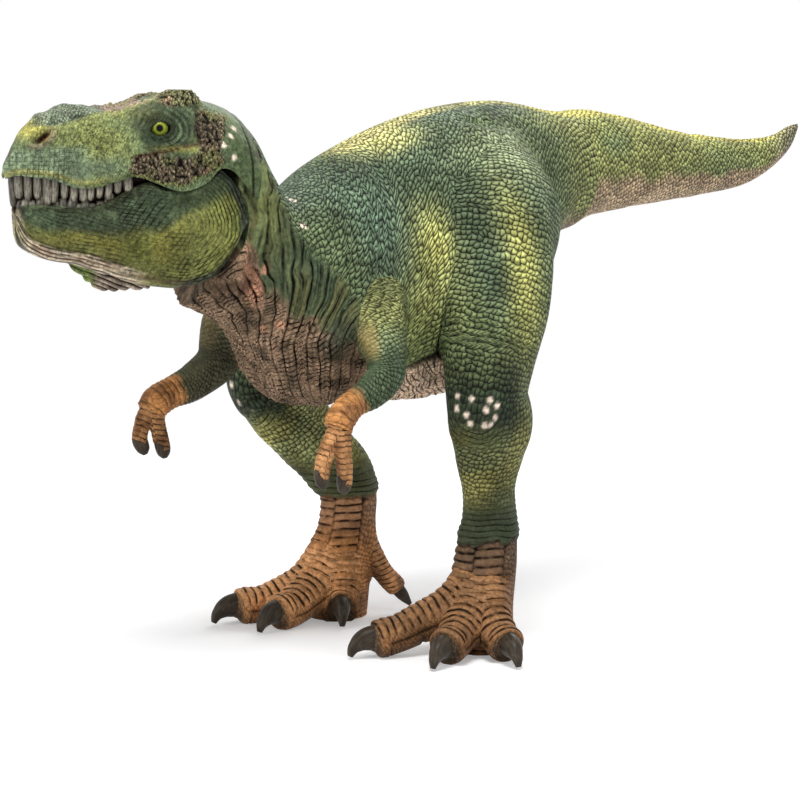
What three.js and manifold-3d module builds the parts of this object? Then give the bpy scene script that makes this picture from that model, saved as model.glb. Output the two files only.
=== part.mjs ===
// A standing toy dinosaur figure: a big meat eater on two legs, with a hinged lower jaw.
// Millimetres, +Z up. The figure looks along -Y, its left side is +X, and it stands on Z = 0.
import * as THREE from "three";
import Module from "manifold-3d";
import { mergeVertices } from "three/addons/utils/BufferGeometryUtils.js";

const wasm = await Module();
wasm.setup();

// Driving dimensions of the body
const hipHeight = 100; // hip axis above the floor; heights and the legs' paths are shares of it
const trunkLength = 120; // from the seam behind the head to the seam before the tail
const trunkHalfWidth = 25;
const tailLength = 101;
const tailHalfWidth = 14;

// Driving dimensions of the head
const skullLength = 54; // from the tip of the snout to the seam behind the head
const headTurn = 18; // degrees to the figure's right, about the seam behind the head
const skullHeight = 20; // from the lips to the top of the brow
const skullHalfWidth = 18;
const toothWidth = 1.7;
const toothThickness = 1.5;
const upperToothPairs = 13;
const lowerToothPairs = 12;

// Driving dimensions of the limbs
const legRadius = 10; // thicknesses of the legs are shares of it
const toeLength = 40;
const toeRadius = 4.4;
const clawLength = 10;
const clawRadius = 3.1;
const armLength = 50; // along its bends, from the shoulder to the claws
const armRadius = 5;
const fingerRadius = 2.1;

// Jaw hinge
const jawPinRadius = 1.5;
const flangeThickness = 3.4;
const jawDiscRadius = 14.6; // round rear of the jaw, about the pin
const jawFloor = 4.2;
const jawWall = 2.6;
const lugRadius = 9; // of the head's core round the pin

// Moulded pegs and their sockets
const neckPegRadius = 8;
const neckPegLength = 9;
const tailPegRadius = 8;
const tailPegLength = 9;
const hipPegRadius = 6;
const hipPegLength = 9;
const shoulderPegRadius = 3;
const shoulderPegLength = 6;

// Clearances
const seamGap = 0.3; // between two pieces that meet
const runningGap = 0.5; // round the jaw where it turns
const pinGap = 0.09; // round the pin
const pinInset = 1; // of the pin's ends from the outsides of the flanges
const cutOverrun = 260; // how far a cutter reaches past what it cuts

// Fineness
const ringSteps = 26;
const tailRingSteps = 20;
const legRingSteps = 16;
const limbRingSteps = 12;
const smallRingSteps = 8;
const toothRingSteps = 5;
const headStepsBetween = 2;
const roundSteps = 32;
const degree = Math.PI / 180;

// Trunk: top y and z, bottom y and z, half width and how high its widest line lies
// y is a share of trunkLength from the head's seam, z of hipHeight, widths of trunkHalfWidth
const trunkShares = [
  [0.033, 1.318, -0.06, 0.88, 0.66, 0.05, 1.0],
  [0.07, 1.275, -0.025, 0.86, 0.66, 0.02, 0.85],
  [0.105, 1.195, 0.015, 0.835, 0.67, 0.0, 0.65],
  [0.145, 1.13, 0.065, 0.79, 0.71, 0.0, 0.4],
  [0.225, 1.16, 0.115, 0.715, 0.8, 0.0, 0.2],
  [0.305, 1.21, 0.16, 0.64, 0.92, 0.0, 0.05],
  [0.42, 1.265, 0.25, 0.615, 1.0, -0.05, 0],
  [0.54, 1.308, 0.385, 0.625, 1.02, -0.08, 0],
  [0.665, 1.33, 0.55, 0.61, 0.98, -0.05, 0],
  [0.77, 1.335, 0.67, 0.65, 0.88, 0.0, 0],
  [0.85, 1.325, 0.8, 0.83, 0.74, 0.05, 0],
  [0.925, 1.31, 0.905, 0.965, 0.62, 0.05, 0],
  [0.985, 1.306, 0.985, 1.0, 0.56, 0.0, 0],
];

// Tail: y, top z, bottom z, half width
// y is a share of tailLength from the tail's seam, z of hipHeight, widths of tailHalfWidth
const tailShares = [
  [0.0, 1.306, 1.0, 1.0],
  [0.07, 1.308, 1.025, 0.93],
  [0.15, 1.302, 1.035, 0.86],
  [0.3, 1.275, 1.049, 0.74],
  [0.47, 1.242, 1.062, 0.6],
  [0.65, 1.222, 1.076, 0.46],
  [0.78, 1.216, 1.098, 0.35],
  [0.89, 1.225, 1.14, 0.22],
  [0.96, 1.25, 1.188, 0.12],
  [1.0, 1.256, 1.24, 0.02],
];

// Skull: y, then x and z of the top's middle, the ridge, the side, the lip and the palate
// y is a share of skullLength from the snout, x of skullHalfWidth, z of skullHeight from the lips
const skullShares = [
  [0.004, 0.13, 0.05, 0.12, 0.07, 0.06, 0.05, -0.02, 0.03, 0.0],
  [0.03, 0.27, 0.1, 0.25, 0.17, 0.14, 0.15, 0.02, 0.09, 0.08],
  [0.07, 0.46, 0.16, 0.42, 0.26, 0.24, 0.25, 0.03, 0.15, 0.16],
  [0.12, 0.63, 0.21, 0.56, 0.35, 0.33, 0.34, 0.02, 0.2, 0.2],
  [0.19, 0.73, 0.31, 0.61, 0.45, 0.36, 0.44, -0.03, 0.28, 0.2],
  [0.26, 0.79, 0.4, 0.6, 0.54, 0.34, 0.53, -0.105, 0.34, 0.16],
  [0.34, 0.8, 0.43, 0.64, 0.62, 0.33, 0.605, -0.09, 0.4, 0.18],
  [0.42, 0.785, 0.48, 0.7, 0.69, 0.37, 0.67, 0.0, 0.45, 0.24],
  [0.49, 0.75, 0.54, 0.74, 0.735, 0.43, 0.725, 0.045, 0.48, 0.28],
  [0.55, 0.76, 0.585, 0.79, 0.775, 0.47, 0.785, 0.005, 0.5, 0.24],
  [0.61, 0.81, 0.62, 0.86, 0.83, 0.47, 0.85, -0.06, 0.52, 0.1],
  [0.665, 0.86, 0.64, 0.95, 0.885, 0.45, 0.91, -0.1, 0.54, 0.0],
  [0.73, 0.87, 0.64, 0.98, 0.93, 0.45, 0.945, -0.075, 0.56, 0.0],
  [0.79, 0.86, 0.6, 0.86, 0.945, 0.46, 0.95, 0.0, 0.58, 0.0],
  [0.87, 0.84, 0.58, 0.76, 0.92, 0.36, 0.92, -0.5, 0.6, -0.7],
  [0.96, 0.77, 0.54, 0.64, 0.89, 0.2, 0.9, -0.8, 0.6, -1.0],
  [1.05, 0.62, 0.48, 0.5, 0.82, 0.0, 0.84, -1.0, 0.56, -1.2],
];
const mouthShare = 1.18; // height of the lips, of hipHeight
const jawPinShares = [0.694, -0.5]; // y of skullLength, z of skullHeight from the lips

// Lower jaw: y, then x and z of the top edge, the cheek, the side, the lower edge and the keel
const jawShares = [
  [0.045, 0.09, -0.35, 0.11, -0.4, 0.12, -0.46, 0.09, -0.58, -0.62],
  [0.07, 0.2, -0.31, 0.25, -0.37, 0.27, -0.48, 0.2, -0.74, -0.78],
  [0.12, 0.33, -0.3, 0.37, -0.38, 0.4, -0.52, 0.31, -0.83, -0.88],
  [0.19, 0.44, -0.31, 0.48, -0.4, 0.51, -0.55, 0.4, -0.9, -0.95],
  [0.29, 0.555, -0.33, 0.6, -0.42, 0.64, -0.58, 0.49, -0.95, -1.0],
  [0.385, 0.63, -0.27, 0.68, -0.4, 0.725, -0.6, 0.56, -1.04, -1.08],
  [0.47, 0.7, -0.15, 0.745, -0.34, 0.8, -0.6, 0.61, -1.11, -1.15],
  [0.55, 0.765, -0.08, 0.8, -0.3, 0.86, -0.6, 0.66, -1.16, -1.2],
  [0.61, 0.81, -0.14, 0.83, -0.3, 0.9, -0.6, 0.69, -1.19, -1.22],
  [0.7, 0.84, -0.15, 0.85, -0.32, 0.94, -0.62, 0.73, -1.21, -1.23],
  [0.8, 0.83, -0.04, 0.845, -0.3, 0.95, -0.62, 0.78, -1.15, -1.17],
  [0.87, 0.84, 0.11, 0.855, -0.25, 0.945, -0.58, 0.82, -1.0, -1.02],
  [0.93, 0.87, 0.0, 0.878, -0.25, 0.93, -0.5, 0.86, -0.72, -0.74],
  [0.965, 0.87, -0.3, 0.878, -0.36, 0.9, -0.43, 0.87, -0.52, -0.54],
];
const browDropShare = 0.1; // how far the right brow lies below the left, of skullHeight
const cheekInnerShare = 0.905; // inner face of the cheeks over the jaw's flanges, of skullHalfWidth
const cheekRearShare = 0.8; // where the cheeks end, of skullLength
const slotFrontShare = 0.68; // where the slots for the jaw's flanges begin, of skullLength
const neckPegShare = -0.2; // height of the neck peg from the lips, of skullHeight
const troughRearShare = 0.43; // where the mouth opens into the room for the head's core
const troughTopShare = -0.7;
const tailPegShare = 1.15; // height of the tail peg, of hipHeight
// Throat fold under the chin: y of skullLength, top z and bottom z of skullHeight
const foldShares = [
  [0.27, -0.95, -1.0],
  [0.33, -0.97, -1.14],
  [0.4, -1.0, -1.29],
  [0.47, -1.0, -1.33],
  [0.55, -1.0, -1.32],
  [0.62, -1.0, -1.32],
  [0.68, -1.0, -1.27],
];
const foldHalfWidthShare = 0.24; // of skullHalfWidth
const foldTaperShare = 0.7; // half way down the fold, of its width at the top

// Legs: x, y and z of the centre as shares of hipHeight, depth and width as shares of legRadius
const leftLegShares = [
  [0.12, -0.02, 1.24, 0.9, 0.5],
  [0.16, -0.035, 1.18, 1.35, 0.8],
  [0.22, -0.06, 1.09, 1.65, 1.05],
  [0.26, -0.1, 0.98, 1.52, 1.1],
  [0.28, -0.14, 0.86, 1.42, 1.05],
  [0.29, -0.17, 0.75, 1.25, 0.98],
  [0.295, -0.182, 0.64, 1.12, 0.84],
  [0.285, -0.155, 0.56, 1.12, 0.83],
  [0.27, -0.142, 0.485, 0.94, 0.7],
  [0.255, -0.127, 0.4, 0.74, 0.56],
  [0.245, -0.112, 0.315, 0.78, 0.6],
  [0.245, -0.118, 0.25, 0.86, 0.66],
  [0.25, -0.133, 0.18, 0.88, 0.7],
  [0.255, -0.145, 0.11, 0.88, 0.72],
  [0.26, -0.15, 0.05, 0.86, 0.75],
  [0.26, -0.15, -0.02, 0.8, 0.7],
];
const rightLegShares = [
  [-0.11, -0.02, 1.2, 0.9, 0.5],
  [-0.15, -0.04, 1.14, 1.35, 0.8],
  [-0.19, -0.07, 1.06, 1.7, 1.05],
  [-0.23, -0.105, 0.96, 1.85, 1.15],
  [-0.265, -0.165, 0.85, 1.85, 1.12],
  [-0.295, -0.23, 0.745, 1.65, 1.02],
  [-0.325, -0.322, 0.655, 1.4, 0.92],
  [-0.325, -0.3, 0.58, 1.16, 0.84],
  [-0.315, -0.262, 0.517, 1.02, 0.76],
  [-0.29, -0.193, 0.435, 0.94, 0.7],
  [-0.265, -0.135, 0.365, 0.92, 0.64],
  [-0.255, -0.122, 0.305, 0.86, 0.6],
  [-0.25, -0.137, 0.22, 0.86, 0.6],
  [-0.25, -0.16, 0.15, 0.94, 0.68],
  [-0.25, -0.165, 0.08, 0.94, 0.76],
  [-0.25, -0.16, -0.02, 0.8, 0.7],
];
// Toes: angle from straight ahead, turning towards +X, length as a share of toeLength and how
// far the middle is arched off the floor, of toeRadius
const leftToes = [
  { angle: -21.8, lengthShare: 0.87, archShare: 0.5 },
  { angle: 19.2, lengthShare: 0.68, archShare: 0.25 },
  { angle: 67, lengthShare: 0.58, archShare: 0.25 },
];
const rightToes = [
  { angle: -19, lengthShare: 0.86, archShare: 0.1 },
  { angle: 8, lengthShare: 0.77, archShare: 0.1 },
  { angle: 52, lengthShare: 0.42, archShare: 0 },
];
// Small hind toe: its start, middle and tip as shares of hipHeight
const leftHindToeShares = [
  [0.22, -0.11, 0.19],
  [0.17, -0.13, 0.145],
  [0.12, -0.15, 0.08],
];
const rightHindToeShares = [
  [-0.24, -0.1, 0.18],
  [-0.2, -0.06, 0.1],
  [-0.14, -0.005, 0.022],
];
// Arms: x, y and z from the shoulder as shares of armLength, thickness as a share of armRadius
const leftArmShares = [
  [-0.12, 0.08, 0.04, 1.3],
  [0.04, 0.04, -0.08, 1.5],
  [0.12, 0.03, -0.25, 1.35],
  [0.17, -0.01, -0.4, 1.12],
  [0.16, -0.12, -0.475, 0.92],
  [0.13, -0.24, -0.53, 0.78],
  [0.12, -0.32, -0.61, 0.8],
  [0.12, -0.35, -0.69, 0.74],
];
const rightArmShares = [
  [0.12, 0.08, 0.04, 1.3],
  [-0.02, -0.05, -0.08, 1.5],
  [-0.04, -0.15, -0.25, 1.36],
  [-0.05, -0.21, -0.43, 1.14],
  [-0.1, -0.32, -0.53, 0.96],
  [-0.13, -0.45, -0.585, 0.82],
  [-0.14, -0.53, -0.64, 0.86],
  [-0.145, -0.57, -0.69, 0.78],
];
// Fingers: start, bend, claw root and tip, from the shoulder, as shares of armLength
const leftFingerShares = [
  [
    [0.11, -0.35, -0.69],
    [0.11, -0.39, -0.77],
    [0.12, -0.41, -0.84],
    [0.13, -0.42, -0.91],
  ],
  [
    [0.13, -0.33, -0.68],
    [0.13, -0.33, -0.77],
    [0.12, -0.32, -0.87],
    [0.11, -0.31, -0.95],
  ],
];
const rightFingerShares = [
  [
    [-0.15, -0.58, -0.67],
    [-0.15, -0.61, -0.73],
    [-0.15, -0.62, -0.8],
    [-0.13, -0.6, -0.87],
  ],
  [
    [-0.13, -0.55, -0.68],
    [-0.11, -0.54, -0.75],
    [-0.09, -0.53, -0.82],
    [-0.08, -0.52, -0.89],
  ],
];
// Toes: distance of toeLength less the claw, then height, depth and width of toeRadius
const toeShares = [
  [0.0, 1.6, 1.65, 1.15],
  [0.4, 1.25, 1.25, 1.08],
  [0.75, 1.02, 1.06, 1.04],
  [0.97, 0.98, 1.0, 0.98],
  [1.08, 0.85, 0.5, 0.5],
];
const clawRootShare = 0.75; // part of a claw that stands out of its toe
// Claws: distance back from the tip of clawLength, height of toeRadius, depth and width of clawRadius
const clawShares = [
  [1.2, 1.15, 1.0, 0.8],
  [0.45, 1.08, 0.85, 0.7],
  [0.12, 0.68, 0.5, 0.45],
  [0.0, 0.16, 0.2, 0.2],
];
// Hind toes: distance from middle to tip, thickness of toeRadius
const hindToeTipShares = [
  [0.45, 0.6],
  [0.6, 0.42],
  [1.0, 0.16],
];
const hindToeRootShare = 0.6;
const fingerTaperShares = [1, 1, 0.92, 0.3];
const palmFlatness = 0.9; // thickness of an arm across its bend over its thickness along it
// Teeth: place from root to tip, width of toothWidth and thickness of toothThickness
const toothTaperShares = [
  [0.0, 1.0, 1.0],
  [0.5, 0.95, 0.95],
  [1.0, 0.4, 0.45],
];
// Root and tip of the teeth between the jaw's edge and the lips, and the row's ends of skullLength
const upperToothShares = [1.5, 0.14];
const lowerToothShares = [-0.4, 0.8];
const toothRowShares = [0.035, 0.44];
const shoulderShares = [0.267, 0.92, 0.84]; // y of trunkLength, z of hipHeight, x of trunkHalfWidth
const hipPlaceShare = 0.667; // from the head's seam to the middle between the hips, of trunkLength
const snoutReachShare = 0.93; // from the head's seam to the snout, of skullLength
const hipShares = [0.6, 0.98, 0.6]; // y of trunkLength, z of hipHeight, x of trunkHalfWidth

// Places worked out from the sizes
const headSeamY = hipPlaceShare * -trunkLength;
const tailSeamY = headSeamY + trunkShares[trunkShares.length - 1][0] * trunkLength;
const snoutY = headSeamY - snoutReachShare * skullLength;
const mouthZ = mouthShare * hipHeight;
const jawPin = new THREE.Vector3(
  0,
  snoutY + jawPinShares[0] * skullLength,
  mouthZ + jawPinShares[1] * skullHeight,
);
const cheekInner = cheekInnerShare * skullHalfWidth;
const flangeOuter = cheekInner - runningGap;
const flangeInner = flangeOuter - flangeThickness;
const coreHalfWidth = flangeInner - runningGap;
const pinEnd = flangeOuter - pinInset;

// Turn about the upright line through the seam behind the head, towards the figure's right
function turned(angle) {
  const there = new THREE.Matrix4().makeTranslation(0, headSeamY, 0);
  const back = new THREE.Matrix4().makeTranslation(0, -headSeamY, 0);
  return there.multiply(new THREE.Matrix4().makeRotationZ(-angle * degree)).multiply(back);
}

// Turns a closed geometry into a solid
function solidOf(geometry) {
  const bare = geometry.clone();
  bare.deleteAttribute("normal");
  bare.deleteAttribute("uv");
  const merged = mergeVertices(bare);
  return new wasm.Manifold(
    new wasm.Mesh({
      numProp: 3,
      vertProperties: merged.attributes.position.array,
      triVerts: new Uint32Array(merged.index.array),
    }),
  );
}

// Turns a solid back into a geometry
function geometryOf(solid) {
  const mesh = solid.getMesh();
  const geometry = new THREE.BufferGeometry();
  geometry.setAttribute("position", new THREE.BufferAttribute(mesh.vertProperties, 3));
  geometry.setIndex(new THREE.BufferAttribute(mesh.triVerts, 1));
  geometry.computeVertexNormals();
  return geometry;
}

// Smooth curve through the rows of a table, sampled a few times between each two rows
function smoothRows(rows, stepsBetween) {
  const last = rows.length - 1;
  const out = [];
  for (let k = 0; k <= last * stepsBetween; k += 1) {
    const place = k / stepsBetween;
    const i = Math.min(Math.floor(place), last - 1);
    const t = place - i;
    const [p, q, r, s] = [Math.max(i - 1, 0), i, i + 1, Math.min(i + 2, last)];
    out.push(
      rows[i].map((_, c) => {
        const [a, b, d, e] = [rows[p][c], rows[q][c], rows[r][c], rows[s][c]];
        const slopeIn = (d - a) / 2;
        const slopeOut = (e - b) / 2;
        const bend = 3 * (d - b) - 2 * slopeIn - slopeOut;
        const twist = 2 * (b - d) + slopeIn + slopeOut;
        return b + slopeIn * t + bend * t * t + twist * t * t * t;
      }),
    );
  }
  return out;
}

// Closed skin over a row of rings, with a fan over each end
function loft(rings) {
  const count = rings[0].length;
  const points = rings.flat();
  const faces = [];
  for (let i = 0; i + 1 < rings.length; i += 1) {
    for (let j = 0; j < count; j += 1) {
      const [a, b] = [i * count + j, i * count + ((j + 1) % count)];
      faces.push(a, b, b + count, a, b + count, a + count);
    }
  }
  const ends = [rings[0], rings[rings.length - 1]];
  ends.forEach((ring, end) => {
    const middle = ring.reduce((sum, p) => sum.add(p), new THREE.Vector3());
    const hub = points.push(middle.divideScalar(count)) - 1;
    const first = end * (rings.length - 1) * count;
    for (let j = 0; j < count; j += 1) {
      const [a, b] = [first + j, first + ((j + 1) % count)];
      faces.push(...(end ? [hub, a, b] : [hub, b, a]));
    }
  });
  const geometry = new THREE.BufferGeometry();
  geometry.setAttribute("position", new THREE.Float32BufferAttribute(points.flatMap((p) => [p.x, p.y, p.z]), 3));
  geometry.setIndex(faces);
  const made = solidOf(geometry);
  if (made.volume() > 0) return made;
  for (let i = 0; i < faces.length; i += 3) [faces[i + 1], faces[i + 2]] = [faces[i + 2], faces[i + 1]];
  geometry.setIndex(faces);
  return solidOf(geometry);
}

// Cylinder along X, Y or Z between two places on that axis
function rod(axis, centre, radius, from, to, matrix = new THREE.Matrix4()) {
  const geometry = new THREE.CylinderGeometry(radius, radius, to - from, roundSteps);
  const middle = centre.clone();
  middle[axis] = (from + to) / 2;
  if (axis === "x") geometry.rotateZ(Math.PI / 2);
  if (axis === "z") geometry.rotateX(Math.PI / 2);
  geometry.translate(middle.x, middle.y, middle.z);
  geometry.applyMatrix4(matrix);
  return solidOf(geometry);
}

// Box between two corners
function block(low, high) {
  const geometry = new THREE.BoxGeometry(...high.map((v, i) => v - low[i]));
  geometry.translate(...high.map((v, i) => (v + low[i]) / 2));
  return solidOf(geometry);
}

// Trunk section between its top and bottom points, grown by a clearance
function trunkRing([topY, topZ, bottomY, bottomZ, halfWidth, lift, turn], grow) {
  const top = new THREE.Vector3(0, headSeamY + topY * trunkLength, topZ * hipHeight);
  const bottom = new THREE.Vector3(0, headSeamY + bottomY * trunkLength, bottomZ * hipHeight);
  const middle = top.clone().add(bottom).divideScalar(2);
  const up = top.clone().sub(middle);
  const half = up.length();
  up.normalize();
  return Array.from({ length: ringSteps }, (_, j) => {
    const angle = (j / ringSteps) * 2 * Math.PI;
    const height = Math.cos(angle) * (half + grow) + lift * half * Math.sin(angle) ** 2;
    const side = Math.sin(angle) * (halfWidth * trunkHalfWidth + grow);
    const point = middle.clone().addScaledVector(up, height).setX(side);
    return point.applyMatrix4(turned(turn * headTurn));
  });
}

function trunkSolid(grow) {
  const rows = smoothRows(trunkShares, 2);
  return loft(rows.map((row) => trunkRing(row, grow)));
}

// Half space behind the seam at the back of the head, tilted as the neck's first section is
function behindHeadSeam(gap) {
  const [topY, topZ, bottomY, bottomZ] = trunkShares[0];
  const rise = (topZ - bottomZ) * hipHeight;
  const run = (topY - bottomY) * trunkLength;
  const tilt = Math.atan2(run, rise);
  const geometry = new THREE.BoxGeometry(2 * cutOverrun, 2 * cutOverrun, 2 * cutOverrun);
  geometry.translate(0, cutOverrun - gap, 0);
  geometry.rotateX(-tilt);
  const y = headSeamY + ((topY + bottomY) / 2) * trunkLength;
  geometry.translate(0, y, ((topZ + bottomZ) / 2) * hipHeight);
  return solidOf(geometry);
}

// Sweep of ellipses along a path: rows are x, y, z, size along the reference axis, size across it
function sweep(rows, axis, steps) {
  const points = rows.map(([x, y, z]) => new THREE.Vector3(x, y, z));
  const rings = rows.map(([, , , along, across], i) => {
    const ahead = points[Math.min(i + 1, points.length - 1)];
    const tangent = ahead.clone().sub(points[Math.max(i - 1, 0)]).normalize();
    const main = axis.clone().addScaledVector(tangent, -axis.dot(tangent)).normalize();
    const other = new THREE.Vector3().crossVectors(tangent, main);
    return Array.from({ length: steps }, (_, j) => {
      const angle = (j / steps) * 2 * Math.PI;
      const point = points[i].clone().addScaledVector(main, along * Math.cos(angle));
      return point.addScaledVector(other, across * Math.sin(angle));
    });
  });
  return loft(rings);
}

function tailSolid() {
  const rings = smoothRows(tailShares, 2).map(([y, topZ, bottomZ, halfWidth]) => {
    const [middle, half] = [((topZ + bottomZ) / 2) * hipHeight, ((topZ - bottomZ) / 2) * hipHeight];
    return Array.from({ length: tailRingSteps }, (_, j) => {
      const angle = (j / tailRingSteps) * 2 * Math.PI;
      const x = Math.sin(angle) * halfWidth * tailHalfWidth;
      return new THREE.Vector3(x, tailSeamY + seamGap + y * tailLength, middle + half * Math.cos(angle));
    });
  });
  return loft(rings);
}

// Smooth closed ring through the points of the left half, from the middle of the top to the
// middle of the bottom, and the mirror image of the right half
function mirroredRing(y, left, right = left) {
  const mirror = right.slice(1, -1).reverse().map(([x, z]) => [-x, z]);
  const loop = [...left, ...mirror];
  const count = loop.length;
  const closed = [loop[count - 1], ...loop, loop[0], loop[1]];
  const steps = headStepsBetween;
  const fine = smoothRows(closed, steps).slice(steps, steps + count * steps);
  return fine.map(([x, z]) => new THREE.Vector3(x, y, z));
}

const skullX = (share) => share * skullHalfWidth;
const skullZ = (share) => mouthZ + share * skullHeight;
const skullY = (share) => snoutY + share * skullLength;

// Half the upper head's section, from the middle of the top over the lip to the palate
function skullHalf([, topZ, ridgeX, ridgeZ, sideX, sideZ, lipX, lipZ, palateX, palateZ]) {
  return [
    [0, skullZ(topZ)],
    [skullX(ridgeX), skullZ(ridgeZ)],
    [skullX(sideX), skullZ(sideZ)],
    [skullX(lipX), skullZ(lipZ)],
    [skullX(palateX), skullZ(palateZ)],
    [0, skullZ(palateZ)],
  ];
}

// The right brow lies a little lower
function rightSkullHalf(row) {
  const half = skullHalf(row);
  half[1][1] = Math.min(half[1][1], Math.max(skullZ(row[1]), half[1][1] - browDropShare * skullHeight));
  return half;
}

function jawHalf([, edgeX, edgeZ, cheekX, cheekZ, sideX, sideZ, lowX, lowZ, keelZ]) {
  return [
    [0, skullZ(edgeZ)],
    [skullX(edgeX), skullZ(edgeZ)],
    [skullX(cheekX), skullZ(cheekZ)],
    [skullX(sideX), skullZ(sideZ)],
    [skullX(lowX), skullZ(lowZ)],
    [0, skullZ(keelZ)],
  ];
}

// Row of teeth along one side: each is a tapered peg whose root is sunk in the gum
function toothRow(pairs, rowOf, [rootShare, tipShare]) {
  const teeth = [];
  const skew = skullHalfWidth / (skullLength - skullHalfWidth);
  for (let k = 0; k < pairs; k += 1) {
    for (const side of [1, -1]) {
      const { x, y, lipZ, edgeZ } = rowOf((k + 0.5) / pairs);
      const gap = lipZ - edgeZ;
      const rows = toothTaperShares.map(([place, wide, thick]) => [
        side * x,
        y,
        edgeZ + (rootShare + place * (tipShare - rootShare)) * gap,
        (toothWidth / 2) * wide,
        (toothThickness / 2) * thick,
      ]);
      teeth.push(sweep(rows, new THREE.Vector3(side * skew, 1, 0).normalize(), toothRingSteps));
    }
  }
  return teeth;
}

const joined = (solids) => solids.reduce((sum, solid) => sum.add(solid));

// Gum line at a share of the mouth's length, set in from the lip
function gumLine(inset) {
  const skullRows = smoothRows(skullShares, 4);
  const jawRows = smoothRows(jawShares, 4);
  const near = (rows, y) => rows.reduce((a, b) => (Math.abs(b[0] - y) < Math.abs(a[0] - y) ? b : a));
  return (share) => {
    const y = toothRowShares[0] + share * (toothRowShares[1] - toothRowShares[0]);
    const skull = near(skullRows, y);
    const jaw = near(jawRows, y);
    return { x: skullX(skull[6]) - inset, y: skullY(y), lipZ: skullZ(skull[7]), edgeZ: skullZ(jaw[2]) };
  };
}

const neckPegCentre = () => new THREE.Vector3(0, 0, skullZ(neckPegShare));

function headSolid() {
  const loftRows = smoothRows(skullShares, 2);
  let head = loft(loftRows.map((row) => mirroredRing(skullY(row[0]), skullHalf(row), rightSkullHalf(row))));
  const slotRadius = jawDiscRadius + runningGap;
  const behind = (share) =>
    block([-cutOverrun, skullY(share), 0], [cutOverrun, cutOverrun, cutOverrun]);
  for (const side of [1, -1]) {
    const [inner, outer] = [side * coreHalfWidth, side * cheekInner];
    const slot = rod("x", jawPin, slotRadius, Math.min(inner, outer), Math.max(inner, outer));
    const open = rod("x", jawPin, slotRadius, Math.min(inner, side * cutOverrun), Math.max(inner, side * cutOverrun));
    head = head.subtract(slot.intersect(behind(slotFrontShare)));
    head = head.subtract(open.intersect(behind(cheekRearShare)));
  }
  const lug = rod("x", jawPin, lugRadius, -coreHalfWidth, coreHalfWidth);
  const web = block(
    [-coreHalfWidth, jawPin.y - lugRadius, jawPin.z],
    [coreHalfWidth, jawPin.y + jawDiscRadius, mouthZ + lugRadius],
  );
  const teeth = toothRow(upperToothPairs, gumLine(toothThickness), upperToothShares);
  head = joined([head, lug, web, ...teeth]).subtract(behindHeadSeam(seamGap));
  const peg = rod("y", neckPegCentre(), neckPegRadius, jawPin.y + lugRadius, headSeamY + neckPegLength);
  return head.add(peg).subtract(pinBore());
}

function pinBore() {
  return rod("x", jawPin, jawPinRadius + pinGap, -pinEnd - pinGap, pinEnd + pinGap);
}

function jawSolid() {
  const rows = smoothRows(jawShares, 2);
  const outer = loft(rows.map((row) => mirroredRing(skullY(row[0]), jawHalf(row))));
  const front = block([-cutOverrun, -cutOverrun, 0], [cutOverrun, jawPin.y, cutOverrun]);
  const disc = rod("x", jawPin, jawDiscRadius, -cutOverrun, cutOverrun);
  const troughRows = jawShares.slice(0, 6).map((row) => {
    const [y, edgeX, , , , , , , , keelZ] = row;
    const x = Math.max(edgeX - jawWall / skullHalfWidth, seamGap / skullHalfWidth);
    const floor = keelZ + jawFloor / skullHeight;
    return [y + jawWall / skullLength, x, 1, x, 0, x, floor / 2, x / 3, floor];
  });
  const trough = loft(
    smoothRows(troughRows, 2).map(([y, aX, aZ, bX, bZ, cX, cZ, dX, dZ]) =>
      mirroredRing(skullY(y), [
        [0, skullZ(aZ)],
        [skullX(aX), skullZ(aZ)],
        [skullX(bX), skullZ(bZ)],
        [skullX(cX), skullZ(cZ)],
        [skullX(dX), skullZ(dZ)],
        [0, skullZ(dZ)],
      ]),
    ),
  );
  const core = joined([
    rod("x", jawPin, lugRadius + runningGap, -flangeInner, flangeInner),
    block(
      [-flangeInner, skullY(troughRearShare), skullZ(troughTopShare)],
      [flangeInner, cutOverrun, cutOverrun],
    ),
    block([-flangeInner, jawPin.y - jawFloor, 0], [flangeInner, cutOverrun, cutOverrun]),
  ]);
  const fold = loft(
    smoothRows(foldShares, 2).map(([y, topZ, bottomZ]) =>
      mirroredRing(skullY(y), [
        [0, skullZ(topZ)],
        [skullX(foldHalfWidthShare), skullZ(topZ)],
        [skullX(foldHalfWidthShare * foldTaperShare), skullZ((topZ + bottomZ) / 2)],
        [0, skullZ(bottomZ)],
      ]),
    ),
  );
  let jaw = outer.add(fold).intersect(front.add(disc)).subtract(trough).subtract(core);
  const teeth = toothRow(lowerToothPairs, gumLine(toothThickness * 2 + seamGap * 2), lowerToothShares);
  jaw = joined([jaw, ...teeth]);
  return jaw.subtract(pinBore());
}

function pinSolid() {
  return rod("x", jawPin, jawPinRadius, -pinEnd, pinEnd);
}

const trunkGrown = trunkSolid(seamGap);

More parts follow.
